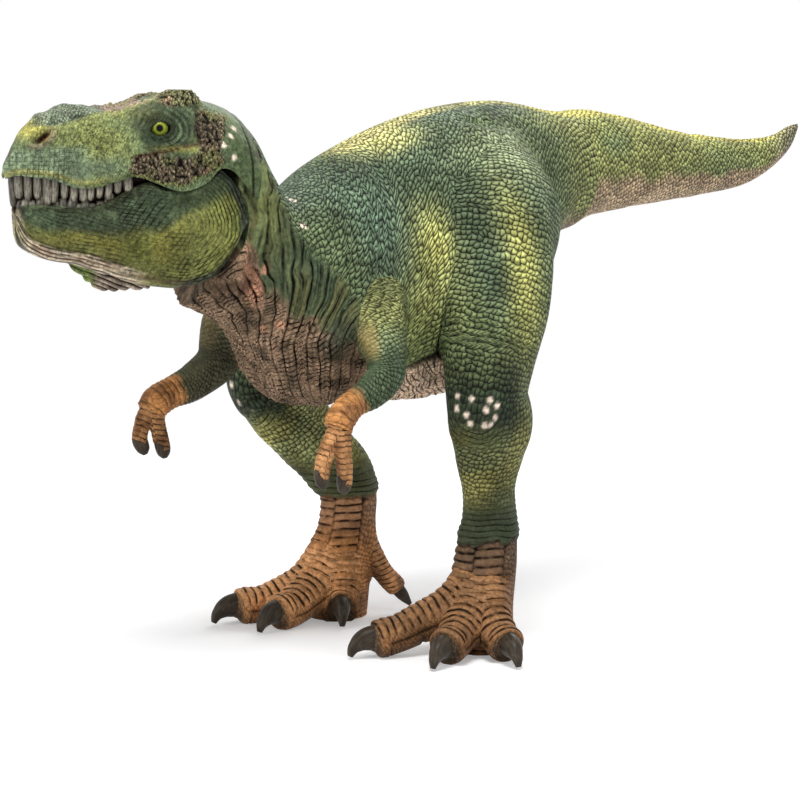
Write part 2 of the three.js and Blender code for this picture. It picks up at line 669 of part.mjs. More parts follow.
// Leg: thigh to ankle and foot in one sweep, three toes, a hind toe and their claws
function legSolid(legShares, toes, hindToeShares, side) {
  const rows = smoothRows(legShares, 2).map(([x, y, z, depth, width]) => [
    x * hipHeight,
    y * hipHeight,
    z * hipHeight,
    depth * legRadius,
    width * legRadius,
  ]);
  const pieces = [sweep(rows, new THREE.Vector3(0, 1, 0), legRingSteps)];
  const up = new THREE.Vector3(0, 0, 1);
  const [footX, footY] = legShares[legShares.length - 2].map((share) => share * hipHeight);
  for (const { angle, lengthShare, archShare } of toes) {
    const [dx, dy] = [Math.sin(angle * degree), -Math.cos(angle * degree)];
    const full = lengthShare * toeLength;
    const toe = full - clawLength * clawRootShare;
    const at = (distance, z, high, wide) => [footX + dx * distance, footY + dy * distance, z, high, wide];
    const toeRows = toeShares.map(([place, z, ...sizes]) => {
      const rise = z + archShare * Math.max(Math.sin(Math.PI * place), 0);
      return at(toe * place, rise * toeRadius, ...sizes.map((v) => v * toeRadius));
    });
    pieces.push(sweep(smoothRows(toeRows, 2), up, limbRingSteps));
    const clawRows = clawShares.map(([back, z, high, wide]) =>
      at(full - back * clawLength, z * toeRadius, high * clawRadius, wide * clawRadius),
    );
    pieces.push(sweep(smoothRows(clawRows, 2), up, smallRingSteps));
  }
  const [start, middle, tip] = hindToeShares.map((p) => p.map((share) => share * hipHeight));
  const mix = (t) => middle.map((v, i) => v + (tip[i] - v) * t);
  const root = hindToeRootShare * toeRadius;
  const tipRows = hindToeTipShares.map(([t, size]) => [...mix(t), size * toeRadius, size * toeRadius]);
  const hindRows = smoothRows([[...start, root, root], [...middle, root, root], ...tipRows], 2);
  pieces.push(sweep(hindRows, up, smallRingSteps));
  const below = block([-cutOverrun, -cutOverrun, -cutOverrun], [cutOverrun, cutOverrun, 0]);
  const leg = joined(pieces).subtract(below).subtract(trunkGrown);
  return leg.add(hipPeg(side, 0));
}

// Peg from a leg into the trunk, or its socket when grown
function hipPeg(side, grow) {
  const [y, z, x] = hipShares;
  const centre = new THREE.Vector3(0, headSeamY + y * trunkLength, z * hipHeight);
  const root = trunkHalfWidth * x;
  const near = side * (root - grow);
  const far = side * (root + hipPegLength + legRadius / 2);
  return rod("x", centre, hipPegRadius + grow, Math.min(near, far), Math.max(near, far));
}

function shoulderAt(side) {
  const [y, z, x] = shoulderShares;
  return new THREE.Vector3(side * x * trunkHalfWidth, headSeamY + y * trunkLength, z * hipHeight);
}

function shoulderPeg(side, grow) {
  const centre = shoulderAt(side);
  const near = centre.x - side * (shoulderPegLength + grow);
  const far = centre.x + side * armRadius;
  return rod("x", centre, shoulderPegRadius + grow, Math.min(near, far), Math.max(near, far));
}

// Arm: upper arm, forearm and palm in one sweep, two fingers and their claws
function armSolid(armShares, fingerShares, side) {
  const shoulder = shoulderAt(side);
  const place = ([x, y, z]) => [shoulder.x + x * armLength, shoulder.y + y * armLength, shoulder.z + z * armLength];
  const rows = smoothRows(armShares, 2).map((row) => {
    const size = row[3] * armRadius;
    return [...place(row), size, size * palmFlatness];
  });
  const along = new THREE.Vector3(0, 1, 0);
  const pieces = [sweep(rows, along, limbRingSteps)];
  for (const finger of fingerShares) {
    const fingerRows = finger.map((p, i) => {
      const size = fingerTaperShares[i] * fingerRadius;
      return [...place(p), size, size];
    });
    pieces.push(sweep(smoothRows(fingerRows, 2), along, smallRingSteps));
  }
  return joined(pieces).subtract(trunkGrown).add(shoulderPeg(side, 0));
}

function tailPegCentre() {
  return new THREE.Vector3(0, 0, tailPegShare * hipHeight);
}

function torsoSolid() {
  let torso = trunkSolid(0);
  const withHead = turned(headTurn);
  torso = torso.subtract(rod("x", jawPin, jawDiscRadius + runningGap, -cutOverrun, cutOverrun, withHead));
  const socketEnd = headSeamY + neckPegLength + seamGap;
  torso = torso.subtract(rod("y", neckPegCentre(), neckPegRadius + seamGap, -cutOverrun, socketEnd, withHead));
  const tailSocket = tailSeamY - tailPegLength - seamGap;
  torso = torso.subtract(rod("y", tailPegCentre(), tailPegRadius + seamGap, tailSocket, cutOverrun));
  for (const side of [1, -1]) torso = torso.subtract(hipPeg(side, seamGap)).subtract(shoulderPeg(side, seamGap));
  return torso;
}

function tailWithPeg() {
  const [near, far] = [tailSeamY - tailPegLength, tailSeamY + tailPegLength];
  return tailSolid().add(rod("y", tailPegCentre(), tailPegRadius, near, far));
}

// Painted vinyl, with the colour that covers most of each piece
const hide = { color: 0x5f7d3c, roughness: 0.6, metalness: 0 };
const paint = {
  torso: hide,
  head: { ...hide, color: 0x5b7a42 },
  lower_jaw: { ...hide, color: 0x6d7f35 },
  jaw_pin: { color: 0xb9bcc0, roughness: 0.3, metalness: 1 },
  tail: { ...hide, color: 0x6c8440 },
  left_leg: { ...hide, color: 0x4f7040 },
  right_leg: { ...hide, color: 0x4f7040 },
  left_arm: { ...hide, color: 0x587648 },
  right_arm: { ...hide, color: 0x587648 },
};

const figure = new THREE.Group();
const headGroup = new THREE.Group();
headGroup.applyMatrix4(turned(headTurn));
figure.add(headGroup);

function place(name, solid, group = figure) {
  const mesh = new THREE.Mesh(geometryOf(solid), new THREE.MeshStandardMaterial(paint[name]));
  mesh.name = name;
  group.add(mesh);
}

place("torso", torsoSolid());
place("head", headSolid(), headGroup);
place("lower_jaw", jawSolid(), headGroup);
place("jaw_pin", pinSolid(), headGroup);
place("tail", tailWithPeg());
place("left_leg", legSolid(leftLegShares, leftToes, leftHindToeShares, 1));
place("right_leg", legSolid(rightLegShares, rightToes, rightHindToeShares, -1));
place("left_arm", armSolid(leftArmShares, leftFingerShares, 1));
place("right_arm", armSolid(rightArmShares, rightFingerShares, -1));

// The origin is the middle of the figure's box, at the floor
const box = new THREE.Box3().setFromObject(figure, true);
const middle = box.getCenter(new THREE.Vector3());
figure.position.set(-middle.x, -middle.y, -box.min.z);

const part = new THREE.Group();
part.add(figure);

export default part;
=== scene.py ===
"""Looks of a toy dinosaur figure: painted hide with scales and folds, teeth, claws and eyes.

Every piece is a grid of points worked out in millimetres, in the frame in which the figure was
sculpted: it looks along -Y, its left side is +X, +Z is up, and the floor is at Z = 0.
"""

import bpy
import numpy as np
from mathutils import Matrix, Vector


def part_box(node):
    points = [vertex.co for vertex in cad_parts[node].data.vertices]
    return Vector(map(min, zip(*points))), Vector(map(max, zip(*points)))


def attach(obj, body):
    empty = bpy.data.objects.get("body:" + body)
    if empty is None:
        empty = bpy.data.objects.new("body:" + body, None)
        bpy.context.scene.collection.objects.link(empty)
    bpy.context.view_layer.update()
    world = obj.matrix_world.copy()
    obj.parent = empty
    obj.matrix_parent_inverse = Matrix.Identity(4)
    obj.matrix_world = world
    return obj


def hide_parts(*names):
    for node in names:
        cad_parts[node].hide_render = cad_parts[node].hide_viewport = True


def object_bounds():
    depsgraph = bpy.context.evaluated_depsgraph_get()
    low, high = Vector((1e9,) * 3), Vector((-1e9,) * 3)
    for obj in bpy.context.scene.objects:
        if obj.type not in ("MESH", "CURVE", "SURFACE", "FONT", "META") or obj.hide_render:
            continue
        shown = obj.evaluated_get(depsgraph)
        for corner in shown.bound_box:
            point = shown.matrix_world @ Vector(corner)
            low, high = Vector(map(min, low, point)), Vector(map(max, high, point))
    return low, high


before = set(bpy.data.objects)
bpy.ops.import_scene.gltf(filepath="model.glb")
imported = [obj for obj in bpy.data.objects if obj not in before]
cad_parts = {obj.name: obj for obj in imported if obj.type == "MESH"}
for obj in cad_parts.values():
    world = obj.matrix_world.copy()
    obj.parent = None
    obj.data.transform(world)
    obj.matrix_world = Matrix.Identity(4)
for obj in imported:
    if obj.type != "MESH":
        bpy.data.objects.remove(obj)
cad_box = [list(corner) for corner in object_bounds()]

# Sizes of the figure, as in its solids, in millimetres
HIP = 100.0  # height of the hips; heights and the legs' paths are shares of it
TRUNK, TRUNK_WIDE = 120.0, 25.0
TAIL, TAIL_WIDE = 101.0, 14.0
SKULL, SKULL_TALL, SKULL_WIDE = 54.0, 20.0, 18.0
LEG, TOE, TOE_THICK, CLAW, CLAW_THICK = 10.0, 40.0, 4.4, 10.0, 3.1
ARM, ARM_THICK, FINGER = 50.0, 5.0, 2.1
SEAM_Y = -0.667 * TRUNK
TAIL_Y = SEAM_Y + 0.985 * TRUNK
TAIL_SINK = 0.3  # how much further back than TAIL the tail's end lies
SNOUT_Y = SEAM_Y - 0.93 * SKULL
LIPS_Z = 118.0
HEAD_TURN = np.radians(18.0)
PIN_Y, PIN_Z, PIN_ROOM = SNOUT_Y + 0.694 * SKULL, 108.0, 14.95
JAW_REAR, JAW_RIM = 14.6, 14.4  # radius of the jaw's round rear about the pin, and of its rim
SIGN = {"left": 1, "right": -1}  # of x
INSET = 0.01  # how far every point stays inside the CAD box

# The tail's tip and middle give the way from the sculpted frame to the part's own
tail_low, tail_high = (np.array(corner) * 1000 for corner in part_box("tail"))
HOME = np.array([(tail_low[0] + tail_high[0]) / 2, tail_high[1] - TAIL_Y - TAIL_SINK - TAIL, 0.0])

# Colours of the paint, linear
SEA = (0.12, 0.17, 0.1)
MOSS = (0.15, 0.185, 0.075)
LIME = (0.52, 0.52, 0.16)
STRAW = (0.72, 0.66, 0.27)
TAIL_GREEN = (0.3, 0.32, 0.115)
TAIL_TOP = (0.4, 0.41, 0.12)
KEEL_YELLOW = (0.66, 0.6, 0.14)
BROWN = (0.30, 0.185, 0.115)
PINK = (0.52, 0.26, 0.16)
CREAM = (0.80, 0.66, 0.54)
BONE = (0.42, 0.40, 0.32)
# dark red-brown of the mouth's inside, painted near-black as the shade inside the mouth
MOUTH_DARK = (0.045, 0.022, 0.016)

TRUNK_ROWS = [
    # top y, top z, bottom y, bottom z, half width, lift of the widest line, turn with the head
    (0.033, 1.318, -0.06, 0.88, 0.66, 0.05, 1.0),
    (0.07, 1.275, -0.025, 0.86, 0.66, 0.02, 0.85),
    (0.105, 1.195, 0.015, 0.835, 0.67, 0.0, 0.65),
    (0.145, 1.13, 0.065, 0.79, 0.71, 0.0, 0.4),
    (0.225, 1.16, 0.115, 0.715, 0.8, 0.0, 0.2),
    (0.305, 1.21, 0.16, 0.64, 0.92, 0.0, 0.05),
    (0.42, 1.265, 0.25, 0.615, 1.0, -0.05, 0),
    (0.54, 1.308, 0.385, 0.625, 1.02, -0.08, 0),
    (0.665, 1.33, 0.55, 0.61, 0.98, -0.05, 0),
    (0.77, 1.335, 0.67, 0.65, 0.88, 0.0, 0),
    (0.85, 1.325, 0.8, 0.83, 0.74, 0.05, 0),
    (0.925, 1.31, 0.905, 0.965, 0.62, 0.05, 0),
    (0.985, 1.306, 0.985, 1.0, 0.56, 0.0, 0),
]
TAIL_ROWS = [
    # y, top z, bottom z, half width
    (0.0, 1.306, 1.0, 1.0),
    (0.07, 1.308, 1.025, 0.93),
    (0.15, 1.302, 1.035, 0.86),
    (0.3, 1.275, 1.049, 0.74),
    (0.47, 1.242, 1.062, 0.6),
    (0.65, 1.222, 1.076, 0.46),
    (0.78, 1.216, 1.098, 0.35),
    (0.89, 1.225, 1.14, 0.22),
    (0.96, 1.25, 1.188, 0.12),
    (1.0, 1.256, 1.24, 0.02),
]
SKULL_ROWS = [
    # y, top z, then x and z of the ridge, the side, the lip and the palate
    (0.004, 0.13, 0.05, 0.12, 0.07, 0.06, 0.05, -0.02, 0.03, 0.0),
    (0.03, 0.27, 0.1, 0.25, 0.17, 0.14, 0.15, 0.02, 0.09, 0.08),
    (0.07, 0.46, 0.16, 0.42, 0.26, 0.24, 0.25, 0.03, 0.15, 0.16),
    (0.12, 0.63, 0.21, 0.56, 0.35, 0.33, 0.34, 0.02, 0.2, 0.2),
    (0.19, 0.73, 0.31, 0.61, 0.45, 0.36, 0.44, -0.01, 0.28, 0.2),
    (0.26, 0.79, 0.4, 0.6, 0.54, 0.34, 0.53, -0.08, 0.34, 0.16),
    (0.34, 0.8, 0.43, 0.64, 0.62, 0.33, 0.605, -0.07, 0.4, 0.18),
    (0.42, 0.77, 0.48, 0.69, 0.69, 0.37, 0.67, -0.01, 0.45, 0.24),
    (0.49, 0.745, 0.54, 0.73, 0.735, 0.43, 0.725, 0.045, 0.48, 0.28),
    (0.55, 0.755, 0.585, 0.78, 0.765, 0.47, 0.78, 0.005, 0.5, 0.28),
    (0.61, 0.81, 0.62, 0.86, 0.8, 0.47, 0.84, -0.06, 0.6, 0.24),
    (0.665, 0.86, 0.64, 0.95, 0.845, 0.45, 0.895, -0.1, 0.66, 0.2),
    (0.73, 0.87, 0.64, 0.98, 0.9, 0.45, 0.935, -0.075, 0.7, 0.24),
    (0.79, 0.86, 0.6, 0.86, 0.92, 0.46, 0.95, 0.0, 0.74, 0.27),
    (0.84, 0.85, 0.58, 0.78, 0.92, 0.44, 0.95, 0.12, 0.76, 0.28),
    (0.9, 0.82, 0.56, 0.72, 0.9, 0.4, 0.94, 0.09, 0.76, 0.28),
    (0.96, 0.77, 0.53, 0.64, 0.89, 0.31, 0.945, -0.08, 0.74, 0.18),
    (1.01, 0.69, 0.48, 0.56, 0.87, 0.2, 0.92, -0.22, 0.7, 0.05),
    (1.07, 0.5, 0.35, 0.42, 0.66, 0.08, 0.72, -0.2, 0.5, -0.05),
]
BROW_DROP = 0.1  # the right brow lies a little lower
JAW_ROWS = [
    # y, then x and z of the top edge, the cheek, the side, the lower edge, and z of the keel
    (0.045, 0.09, -0.35, 0.11, -0.4, 0.12, -0.46, 0.09, -0.58, -0.62),
    (0.07, 0.2, -0.31, 0.25, -0.37, 0.27, -0.48, 0.2, -0.74, -0.78),
    (0.12, 0.33, -0.3, 0.37, -0.38, 0.4, -0.52, 0.31, -0.83, -0.88),
    (0.19, 0.44, -0.31, 0.48, -0.4, 0.51, -0.55, 0.4, -0.9, -0.95),
    (0.29, 0.555, -0.33, 0.6, -0.42, 0.64, -0.58, 0.49, -0.95, -1.0),
    (0.385, 0.63, -0.27, 0.68, -0.4, 0.725, -0.6, 0.56, -1.04, -1.08),
    (0.47, 0.7, -0.15, 0.745, -0.34, 0.8, -0.6, 0.61, -1.11, -1.15),
    (0.55, 0.765, -0.08, 0.8, -0.3, 0.86, -0.6, 0.66, -1.16, -1.2),
    (0.61, 0.79, -0.14, 0.82, -0.3, 0.9, -0.6, 0.69, -1.19, -1.22),
    (0.7, 0.82, -0.15, 0.84, -0.32, 0.93, -0.62, 0.73, -1.21, -1.23),
    (0.8, 0.83, -0.04, 0.85, -0.26, 0.935, -0.62, 0.78, -1.15, -1.17),
    (0.87, 0.84, 0.11, 0.86, -0.22, 0.93, -0.58, 0.82, -1.0, -1.02),
    (0.93, 0.85, 0.0, 0.87, -0.25, 0.92, -0.5, 0.86, -0.72, -0.74),
    (0.965, 0.86, -0.3, 0.87, -0.36, 0.9, -0.43, 0.87, -0.52, -0.54),
]
FOLD_ROWS = [
    # y, top z, bottom z of the fold under the chin
    (0.27, -0.93, -1.0),
    (0.33, -0.93, -1.14),
    (0.4, -0.95, -1.29),
    (0.47, -0.95, -1.33),
    (0.55, -0.98, -1.32),
    (0.62, -1.0, -1.32),
    (0.68, -1.0, -1.27),
]
LEG_ROWS = {
    # x, y, z of the path, depth, width
    "left": [
        (0.12, -0.02, 1.24, 0.9, 0.5),
        (0.16, -0.035, 1.18, 1.35, 0.8),
        (0.22, -0.06, 1.09, 1.65, 1.05),
        (0.26, -0.1, 0.98, 1.52, 1.1),
        (0.28, -0.14, 0.86, 1.42, 1.05),
        (0.29, -0.17, 0.75, 1.25, 0.98),
        (0.295, -0.182, 0.64, 1.12, 0.84),
        (0.285, -0.155, 0.56, 1.12, 0.83),
        (0.27, -0.142, 0.485, 0.94, 0.7),
        (0.255, -0.127, 0.4, 0.74, 0.56),
        (0.245, -0.112, 0.315, 0.78, 0.6),
        (0.245, -0.118, 0.25, 0.86, 0.66),
        (0.25, -0.133, 0.18, 0.88, 0.7),
        (0.255, -0.145, 0.11, 0.88, 0.72),
        (0.26, -0.15, 0.05, 0.86, 0.75),
        (0.26, -0.15, -0.02, 0.8, 0.7),
    ],
    "right": [
        (-0.11, -0.02, 1.2, 0.9, 0.5),
        (-0.15, -0.04, 1.14, 1.35, 0.8),
        (-0.19, -0.07, 1.06, 1.7, 1.05),
        (-0.23, -0.105, 0.96, 1.85, 1.15),
        (-0.265, -0.165, 0.85, 1.85, 1.12),
        (-0.295, -0.23, 0.745, 1.65, 1.02),
        (-0.325, -0.322, 0.655, 1.4, 0.92),
        (-0.325, -0.3, 0.58, 1.16, 0.84),
        (-0.315, -0.262, 0.517, 1.02, 0.76),
        (-0.29, -0.193, 0.435, 0.94, 0.7),
        (-0.265, -0.135, 0.365, 0.92, 0.64),
        (-0.255, -0.122, 0.305, 0.86, 0.6),
        (-0.25, -0.137, 0.22, 0.86, 0.6),
        (-0.25, -0.16, 0.15, 0.94, 0.68),
        (-0.25, -0.165, 0.08, 0.94, 0.76),
        (-0.25, -0.16, -0.02, 0.8, 0.7),
    ],
}
TOES = {  # angle from straight ahead, length, arch
    "left": [(-21.8, 0.87, 0.5), (19.2, 0.68, 0.25), (67.0, 0.58, 0.25)],
    "right": [(-19.0, 0.86, 0.1), (8.0, 0.77, 0.1), (52.0, 0.42, 0.0)],
}
TOE_ROWS = [
    # distance along, height, depth, width; the first three run down from the foot's front
    (0.05, 3.6, 1.2, 1.0),
    (0.2, 2.6, 1.35, 1.1),
    (0.4, 1.7, 1.25, 1.08),
    (0.75, 1.02, 1.06, 1.04),
    (0.97, 0.98, 1.0, 0.98),
    (1.08, 0.85, 0.5, 0.5),
]
CLAW_ROWS = [
    # distance from the tip, height, depth, width
    (1.2, 1.15, 1.1, 0.9),
    (0.45, 1.08, 0.95, 0.78),
    (0.12, 0.68, 0.56, 0.5),
    (0.0, 0.16, 0.22, 0.22),
]
HIND_TOES = {
    "left": [(0.22, -0.11, 0.19), (0.17, -0.13, 0.145), (0.12, -0.15, 0.08)],
    "right": [(-0.24, -0.1, 0.24), (-0.2, -0.06, 0.12), (-0.14, -0.005, 0.022)],
}
ARM_ROWS = {
    "left": [
        (-0.13, 0.06, 0.04, 1.15),
        (0.015, 0.0, -0.08, 1.25),
        (0.085, -0.015, -0.25, 1.12),
        (0.135, -0.05, -0.4, 0.97),
        (0.145, -0.145, -0.475, 0.83),
        (0.125, -0.245, -0.53, 0.72),
        (0.12, -0.31, -0.59, 0.76),
        (0.12, -0.34, -0.64, 0.68),
    ],
    "right": [
        (0.12, 0.08, 0.04, 1.3),
        (-0.02, -0.05, -0.08, 1.5),
        (-0.04, -0.15, -0.25, 1.36),
        (-0.05, -0.21, -0.43, 1.14),
        (-0.1, -0.32, -0.53, 0.96),
        (-0.13, -0.45, -0.585, 0.82),
        (-0.14, -0.525, -0.625, 0.8),
        (-0.145, -0.56, -0.665, 0.7),
    ],
}
FINGER_ROWS = {
    "left": [
        [(0.11, -0.335, -0.64), (0.105, -0.395, -0.745), (0.115, -0.43, -0.84), (0.13, -0.435, -0.91)],
        [(0.13, -0.32, -0.64), (0.135, -0.315, -0.745), (0.13, -0.3, -0.87), (0.12, -0.295, -0.95)],
    ],
    "right": [
        [(-0.15, -0.565, -0.645), (-0.15, -0.605, -0.72), (-0.15, -0.62, -0.8), (-0.13, -0.6, -0.87)],
        [(-0.13, -0.545, -0.65), (-0.11, -0.54, -0.735), (-0.09, -0.53, -0.82), (-0.08, -0.52, -0.89)],
    ],
}


# ---- shapes as whole arrays ----
def smooth(rows, steps):
    """Curve through the rows: a cubic between each two, whose slope at a row is half the step
    between its neighbours."""
    rows = np.asarray(rows, float)
    last = len(rows) - 1
    place = np.arange(last * steps + 1) / steps
    i = np.minimum(place.astype(int), last - 1)
    t = (place - i)[:, None]
    a, b = rows[np.maximum(i - 1, 0)], rows[i]
    d, e = rows[i + 1], rows[np.minimum(i + 2, last)]
    rise, fall = (d - a) / 2, (e - b) / 2
    return b + rise * t + (3 * (d - b) - 2 * rise - fall) * t**2 + (2 * (b - d) + rise + fall) * t**3


def smooth_loops(net, steps):
    """Closed curve through each row of a net of points, by the same cubic as smooth."""
    a, b, d, e = (np.roll(net, k, axis=1)[:, :, None] for k in (1, 0, -1, -2))
    t = (np.arange(steps) / steps)[None, None, :, None]
    rise, fall = (d - a) / 2, (e - b) / 2
    out = b + rise * t + (3 * (d - b) - 2 * rise - fall) * t**2 + (2 * (b - d) + rise + fall) * t**3
    return out.reshape(len(net), -1, net.shape[2])


def ease(value, low, high):
    """0 below low, 1 above high, and 3t²-2t³ between them."""
    t = np.clip((value - low) / (high - low), 0, 1)
    return t * t * (3 - 2 * t)


def scattered(lattice, seed):
    """A number 0..1 for each whole-number cell: the fraction of a large sine of its sum."""
    dots = lattice @ np.array([127.1, 311.7, 74.7]) + seed * 57.31
    return np.modf(np.abs(np.sin(dots) * 43758.5453))[0]


def lot(number, seed):
    """A number 0..1 for each whole number."""
    return scattered(number[..., None] * np.array([1.0, 0, 0]), seed)


def cloud(points, size, seed=0):
    """Soft noise -1..1: numbers at the corners of cubes of that size, eased from one to the next."""
    q = points / size
    base = np.floor(q)
    t = q - base
    t = t * t * (3 - 2 * t)
    total = np.zeros(points.shape[:-1])
    for corner in np.ndindex(2, 2, 2):
        weight = np.prod(np.where(corner, t, 1 - t), axis=-1)
        total += weight * scattered(base + corner, seed)
    return 2 * total - 1


def pebbles(points, size, seed=0):
    """Round pebbles 0..1, one to a cube of that size: 1 less 1.6 times the squared distance to the
    nearest scattered middle, in sizes."""
    q = points / size
    base = np.floor(q)
    nearest = np.full(points.shape[:-1], 9.0)
    for corner in np.ndindex(3, 3, 3):
        cell = base + np.array(corner) - 1
        middle = np.stack([scattered(cell, seed + k) for k in range(3)], -1)
        nearest = np.minimum(nearest, np.sum((cell + 0.1 + 0.8 * middle - q) ** 2, axis=-1))
    return 1 - np.minimum(nearest * 1.6, 1)


def hump(value, middle, width):
    """1 at the middle, falling as exp(-((value - middle) / width)²)."""
    return np.exp(-(((value - middle) / width) ** 2))


def groove(phase, sharp=0.16):
    """A narrow groove at every whole number of the phase: exp(-(distance/sharp)²)."""
    return hump(phase, np.round(phase), sharp)


def plates(phase):
    """Lapping plates 0..1, one to each whole number t of the phase: t^0.6 (1 - t^6)."""
    t = np.mod(phase, 1.0)
    return t**0.6 * (1 - t**6)


def near(points, place, size):
    """1 at a place, falling as exp(-distance²/size²); size may differ by direction."""
    return np.exp(-np.sum(((points - np.array(place)) / np.array(size)) ** 2, axis=-1))


def turned(points, turn=1.0):
    """Turn towards the figure's right about the upright line through the seam of the head."""
    angle = -HEAD_TURN * np.asarray(turn)
    c, s = np.cos(angle), np.sin(angle)
    x, y = points[..., 0], points[..., 1] - SEAM_Y
    return np.stack([c * x - s * y, s * x + c * y + SEAM_Y, points[..., 2]], -1)


class Tube:
    """Rings of ovals along a path. centre, main and other give each ring's middle and axes;
    deep, wide and lift its half sizes and how far its widest line is raised."""

    def __init__(self, centre, main, other, deep, wide, lift=None):
        self.centre, self.main, self.other = centre, main, other
        self.deep, self.wide = deep, wide
        self.lift = np.zeros(len(deep)) if lift is None else lift
        ahead = np.cross(other, main)
        step = np.gradient(centre, axis=0)
        ahead = ahead * np.sign(np.sum(ahead * step, 1, keepdims=True))
        self.ahead = ahead
        self.pitch = np.maximum(np.sum(ahead * step, 1), 1e-3)

    def grid(self, count):
        """Points at angle a of each ring: centre + main (deep cos a + lift deep sin² a)
        + other wide sin a."""
        a = np.arange(count) / count * 2 * np.pi
        up = self.deep[:, None] * (np.cos(a) + self.lift[:, None] * np.sin(a) ** 2)
        side = self.wide[:, None] * np.sin(a)
        ring = self.centre[:, None] + self.main[:, None] * up[..., None]
        return ring + self.other[:, None] * side[..., None]

    def field(self, points):
        """About how far points lie outside the tube: (oval ratio - 1) times its radius there."""
        gaps = points[:, None, :] - self.centre[None]
        i = np.argmin(np.einsum("ijk,ijk->ij", gaps, gaps), 1)
        place = i + np.sum((points - self.centre[i]) * self.ahead[i], 1) / self.pitch[i]
        held = np.clip(place, 0, len(self.deep) - 1.001)
        i = held.astype(int)
        t = held - i

        def at(values):
            w = t.reshape((-1,) + (1,) * (values.ndim - 1))
            return values[i] * (1 - w) + values[i + 1] * w

        off = points - at(self.centre)
        deep, wide = at(self.deep), at(self.wide)
        w = np.sum(off * at(self.other), 1)
        h = np.sum(off * at(self.main), 1) - at(self.lift) * deep * np.minimum((w / wide) ** 2, 1)
        ratio = np.maximum(np.sqrt((h / deep) ** 2 + (w / wide) ** 2), 1e-3)
        out = (ratio - 1) * np.maximum(np.sqrt(h * h + w * w), 1e-3) / ratio
        past = np.abs(place - held) * at(self.pitch)
        return np.where(past > 0.01, np.hypot(np.maximum(out, 0), past), out)


def swept(rows, axis):
    """Tube along rows of x, y, z, depth, width, whose depth lies towards an axis."""
    centre = rows[:, :3]
    ahead = np.gradient(centre, axis=0)
    ahead /= np.linalg.norm(ahead, axis=1, keepdims=True)
    axis = np.array(axis, float)
    main = axis - ahead * (ahead @ axis)[:, None]
    main /= np.linalg.norm(main, axis=1, keepdims=True)
    return Tube(centre, main, np.cross(ahead, main), rows[:, 3], rows[:, 4])


def trunk_tube(steps):
    rows = smooth(TRUNK_ROWS, steps)
    top = np.stack([np.zeros(len(rows)), SEAM_Y + rows[:, 0] * TRUNK, rows[:, 1] * HIP], 1)
    bottom = np.stack([np.zeros(len(rows)), SEAM_Y + rows[:, 2] * TRUNK, rows[:, 3] * HIP], 1)
    middle, up = (top + bottom) / 2, (top - bottom) / 2
    deep = np.linalg.norm(up, axis=1)
    turn = rows[:, 6]
    side = np.broadcast_to([1.0, 0.0, 0.0], up.shape)
    away = np.array([0, SEAM_Y, 0.0])
    main = turned(up / deep[:, None] + away, turn) - away
    other = turned(side + away, turn) - away
    return Tube(turned(middle, turn), main, other, deep, rows[:, 4] * TRUNK_WIDE, rows[:, 5])


def tail_tube(steps):
    rows = smooth(TAIL_ROWS, steps)
    zero = np.zeros(len(rows))
    middle = (rows[:, 1] + rows[:, 2]) / 2 * HIP
    centre = np.stack([zero, TAIL_Y + rows[:, 0] * (TAIL + TAIL_SINK), middle], 1)
    up = np.broadcast_to([0.0, 0.0, 1.0], centre.shape)
    side = np.broadcast_to([1.0, 0.0, 0.0], centre.shape)
    return Tube(centre, up, side, (rows[:, 1] - rows[:, 2]) / 2 * HIP, rows[:, 3] * TAIL_WIDE)


def leg_tube(side, steps):
    return swept(smooth(LEG_ROWS[side], steps) * [HIP, HIP, HIP, LEG, LEG], (0, 1, 0))


def toe_way(side, which):
    """Where a toe starts, seen from above, its way ahead, its length and its arch."""
    angle, length, arch = TOES[side][which]
    foot = np.array(LEG_ROWS[side][-2][:2]) * HIP
    ahead = np.array([np.sin(np.radians(angle)), -np.cos(np.radians(angle))])
    return foot, ahead, length * TOE, arch


def toe_tube(side, which, steps):
    foot, ahead, length, arch = toe_way(side, which)
    rows = smooth(TOE_ROWS, steps)
    reach = rows[:, 0] * (length - 0.75 * CLAW)
    rise = rows[:, 1] + arch * np.maximum(np.sin(np.pi * rows[:, 0]), 0)
    path = np.column_stack([foot + reach[:, None] * ahead, rise * TOE_THICK])
    return swept(np.column_stack([path, rows[:, 2:4] * TOE_THICK]), (0, 0, 1))


def claw_tube(side, which, steps):
    foot, ahead, length, _ = toe_way(side, which)
    rows = smooth(CLAW_ROWS, steps)
    reach = length - rows[:, 0] * CLAW
    path = np.column_stack([foot + reach[:, None] * ahead, rows[:, 1] * TOE_THICK])
    return swept(np.column_stack([path, rows[:, 2:4] * CLAW_THICK]), (0, 0, 1))


def hind_parts(side, sizes):
    """Rows from the hind toe's middle towards its tip, from shares of that way and sizes."""
    _, middle, tip = np.array(HIND_TOES[side]) * HIP
    return [(*(middle + (tip - middle) * t), size, size) for t, size in sizes]


def hind_toe_tube(side, steps):
    start = np.array(HIND_TOES[side][0]) * HIP
    parts = [(*start, 0.6, 0.6), *hind_parts(side, ((0.0, 0.6), (0.5, 0.62), (0.62, 0.4)))]
    return swept(smooth(parts, steps) * [1, 1, 1, TOE_THICK, TOE_THICK], (0, 0, 1))


def hind_claw_tube(side, steps):
    parts = hind_parts(side, ((0.45, 0.44), (0.75, 0.36), (1.0, 0.12)))
    return swept(smooth(parts, steps) * [1, 1, 1, TOE_THICK, TOE_THICK], (0, 0, 1))


def shoulder(side):
    return np.array([SIGN[side] * 0.84 * TRUNK_WIDE, SEAM_Y + 0.267 * TRUNK, 0.92 * HIP])


def arm_tube(side, steps):
    rows = smooth(ARM_ROWS[side], steps)
    size = rows[:, 3:4] * ARM_THICK
    return swept(np.hstack([shoulder(side) + rows[:, :3] * ARM, size, size * 0.9]), (0, 1, 0))


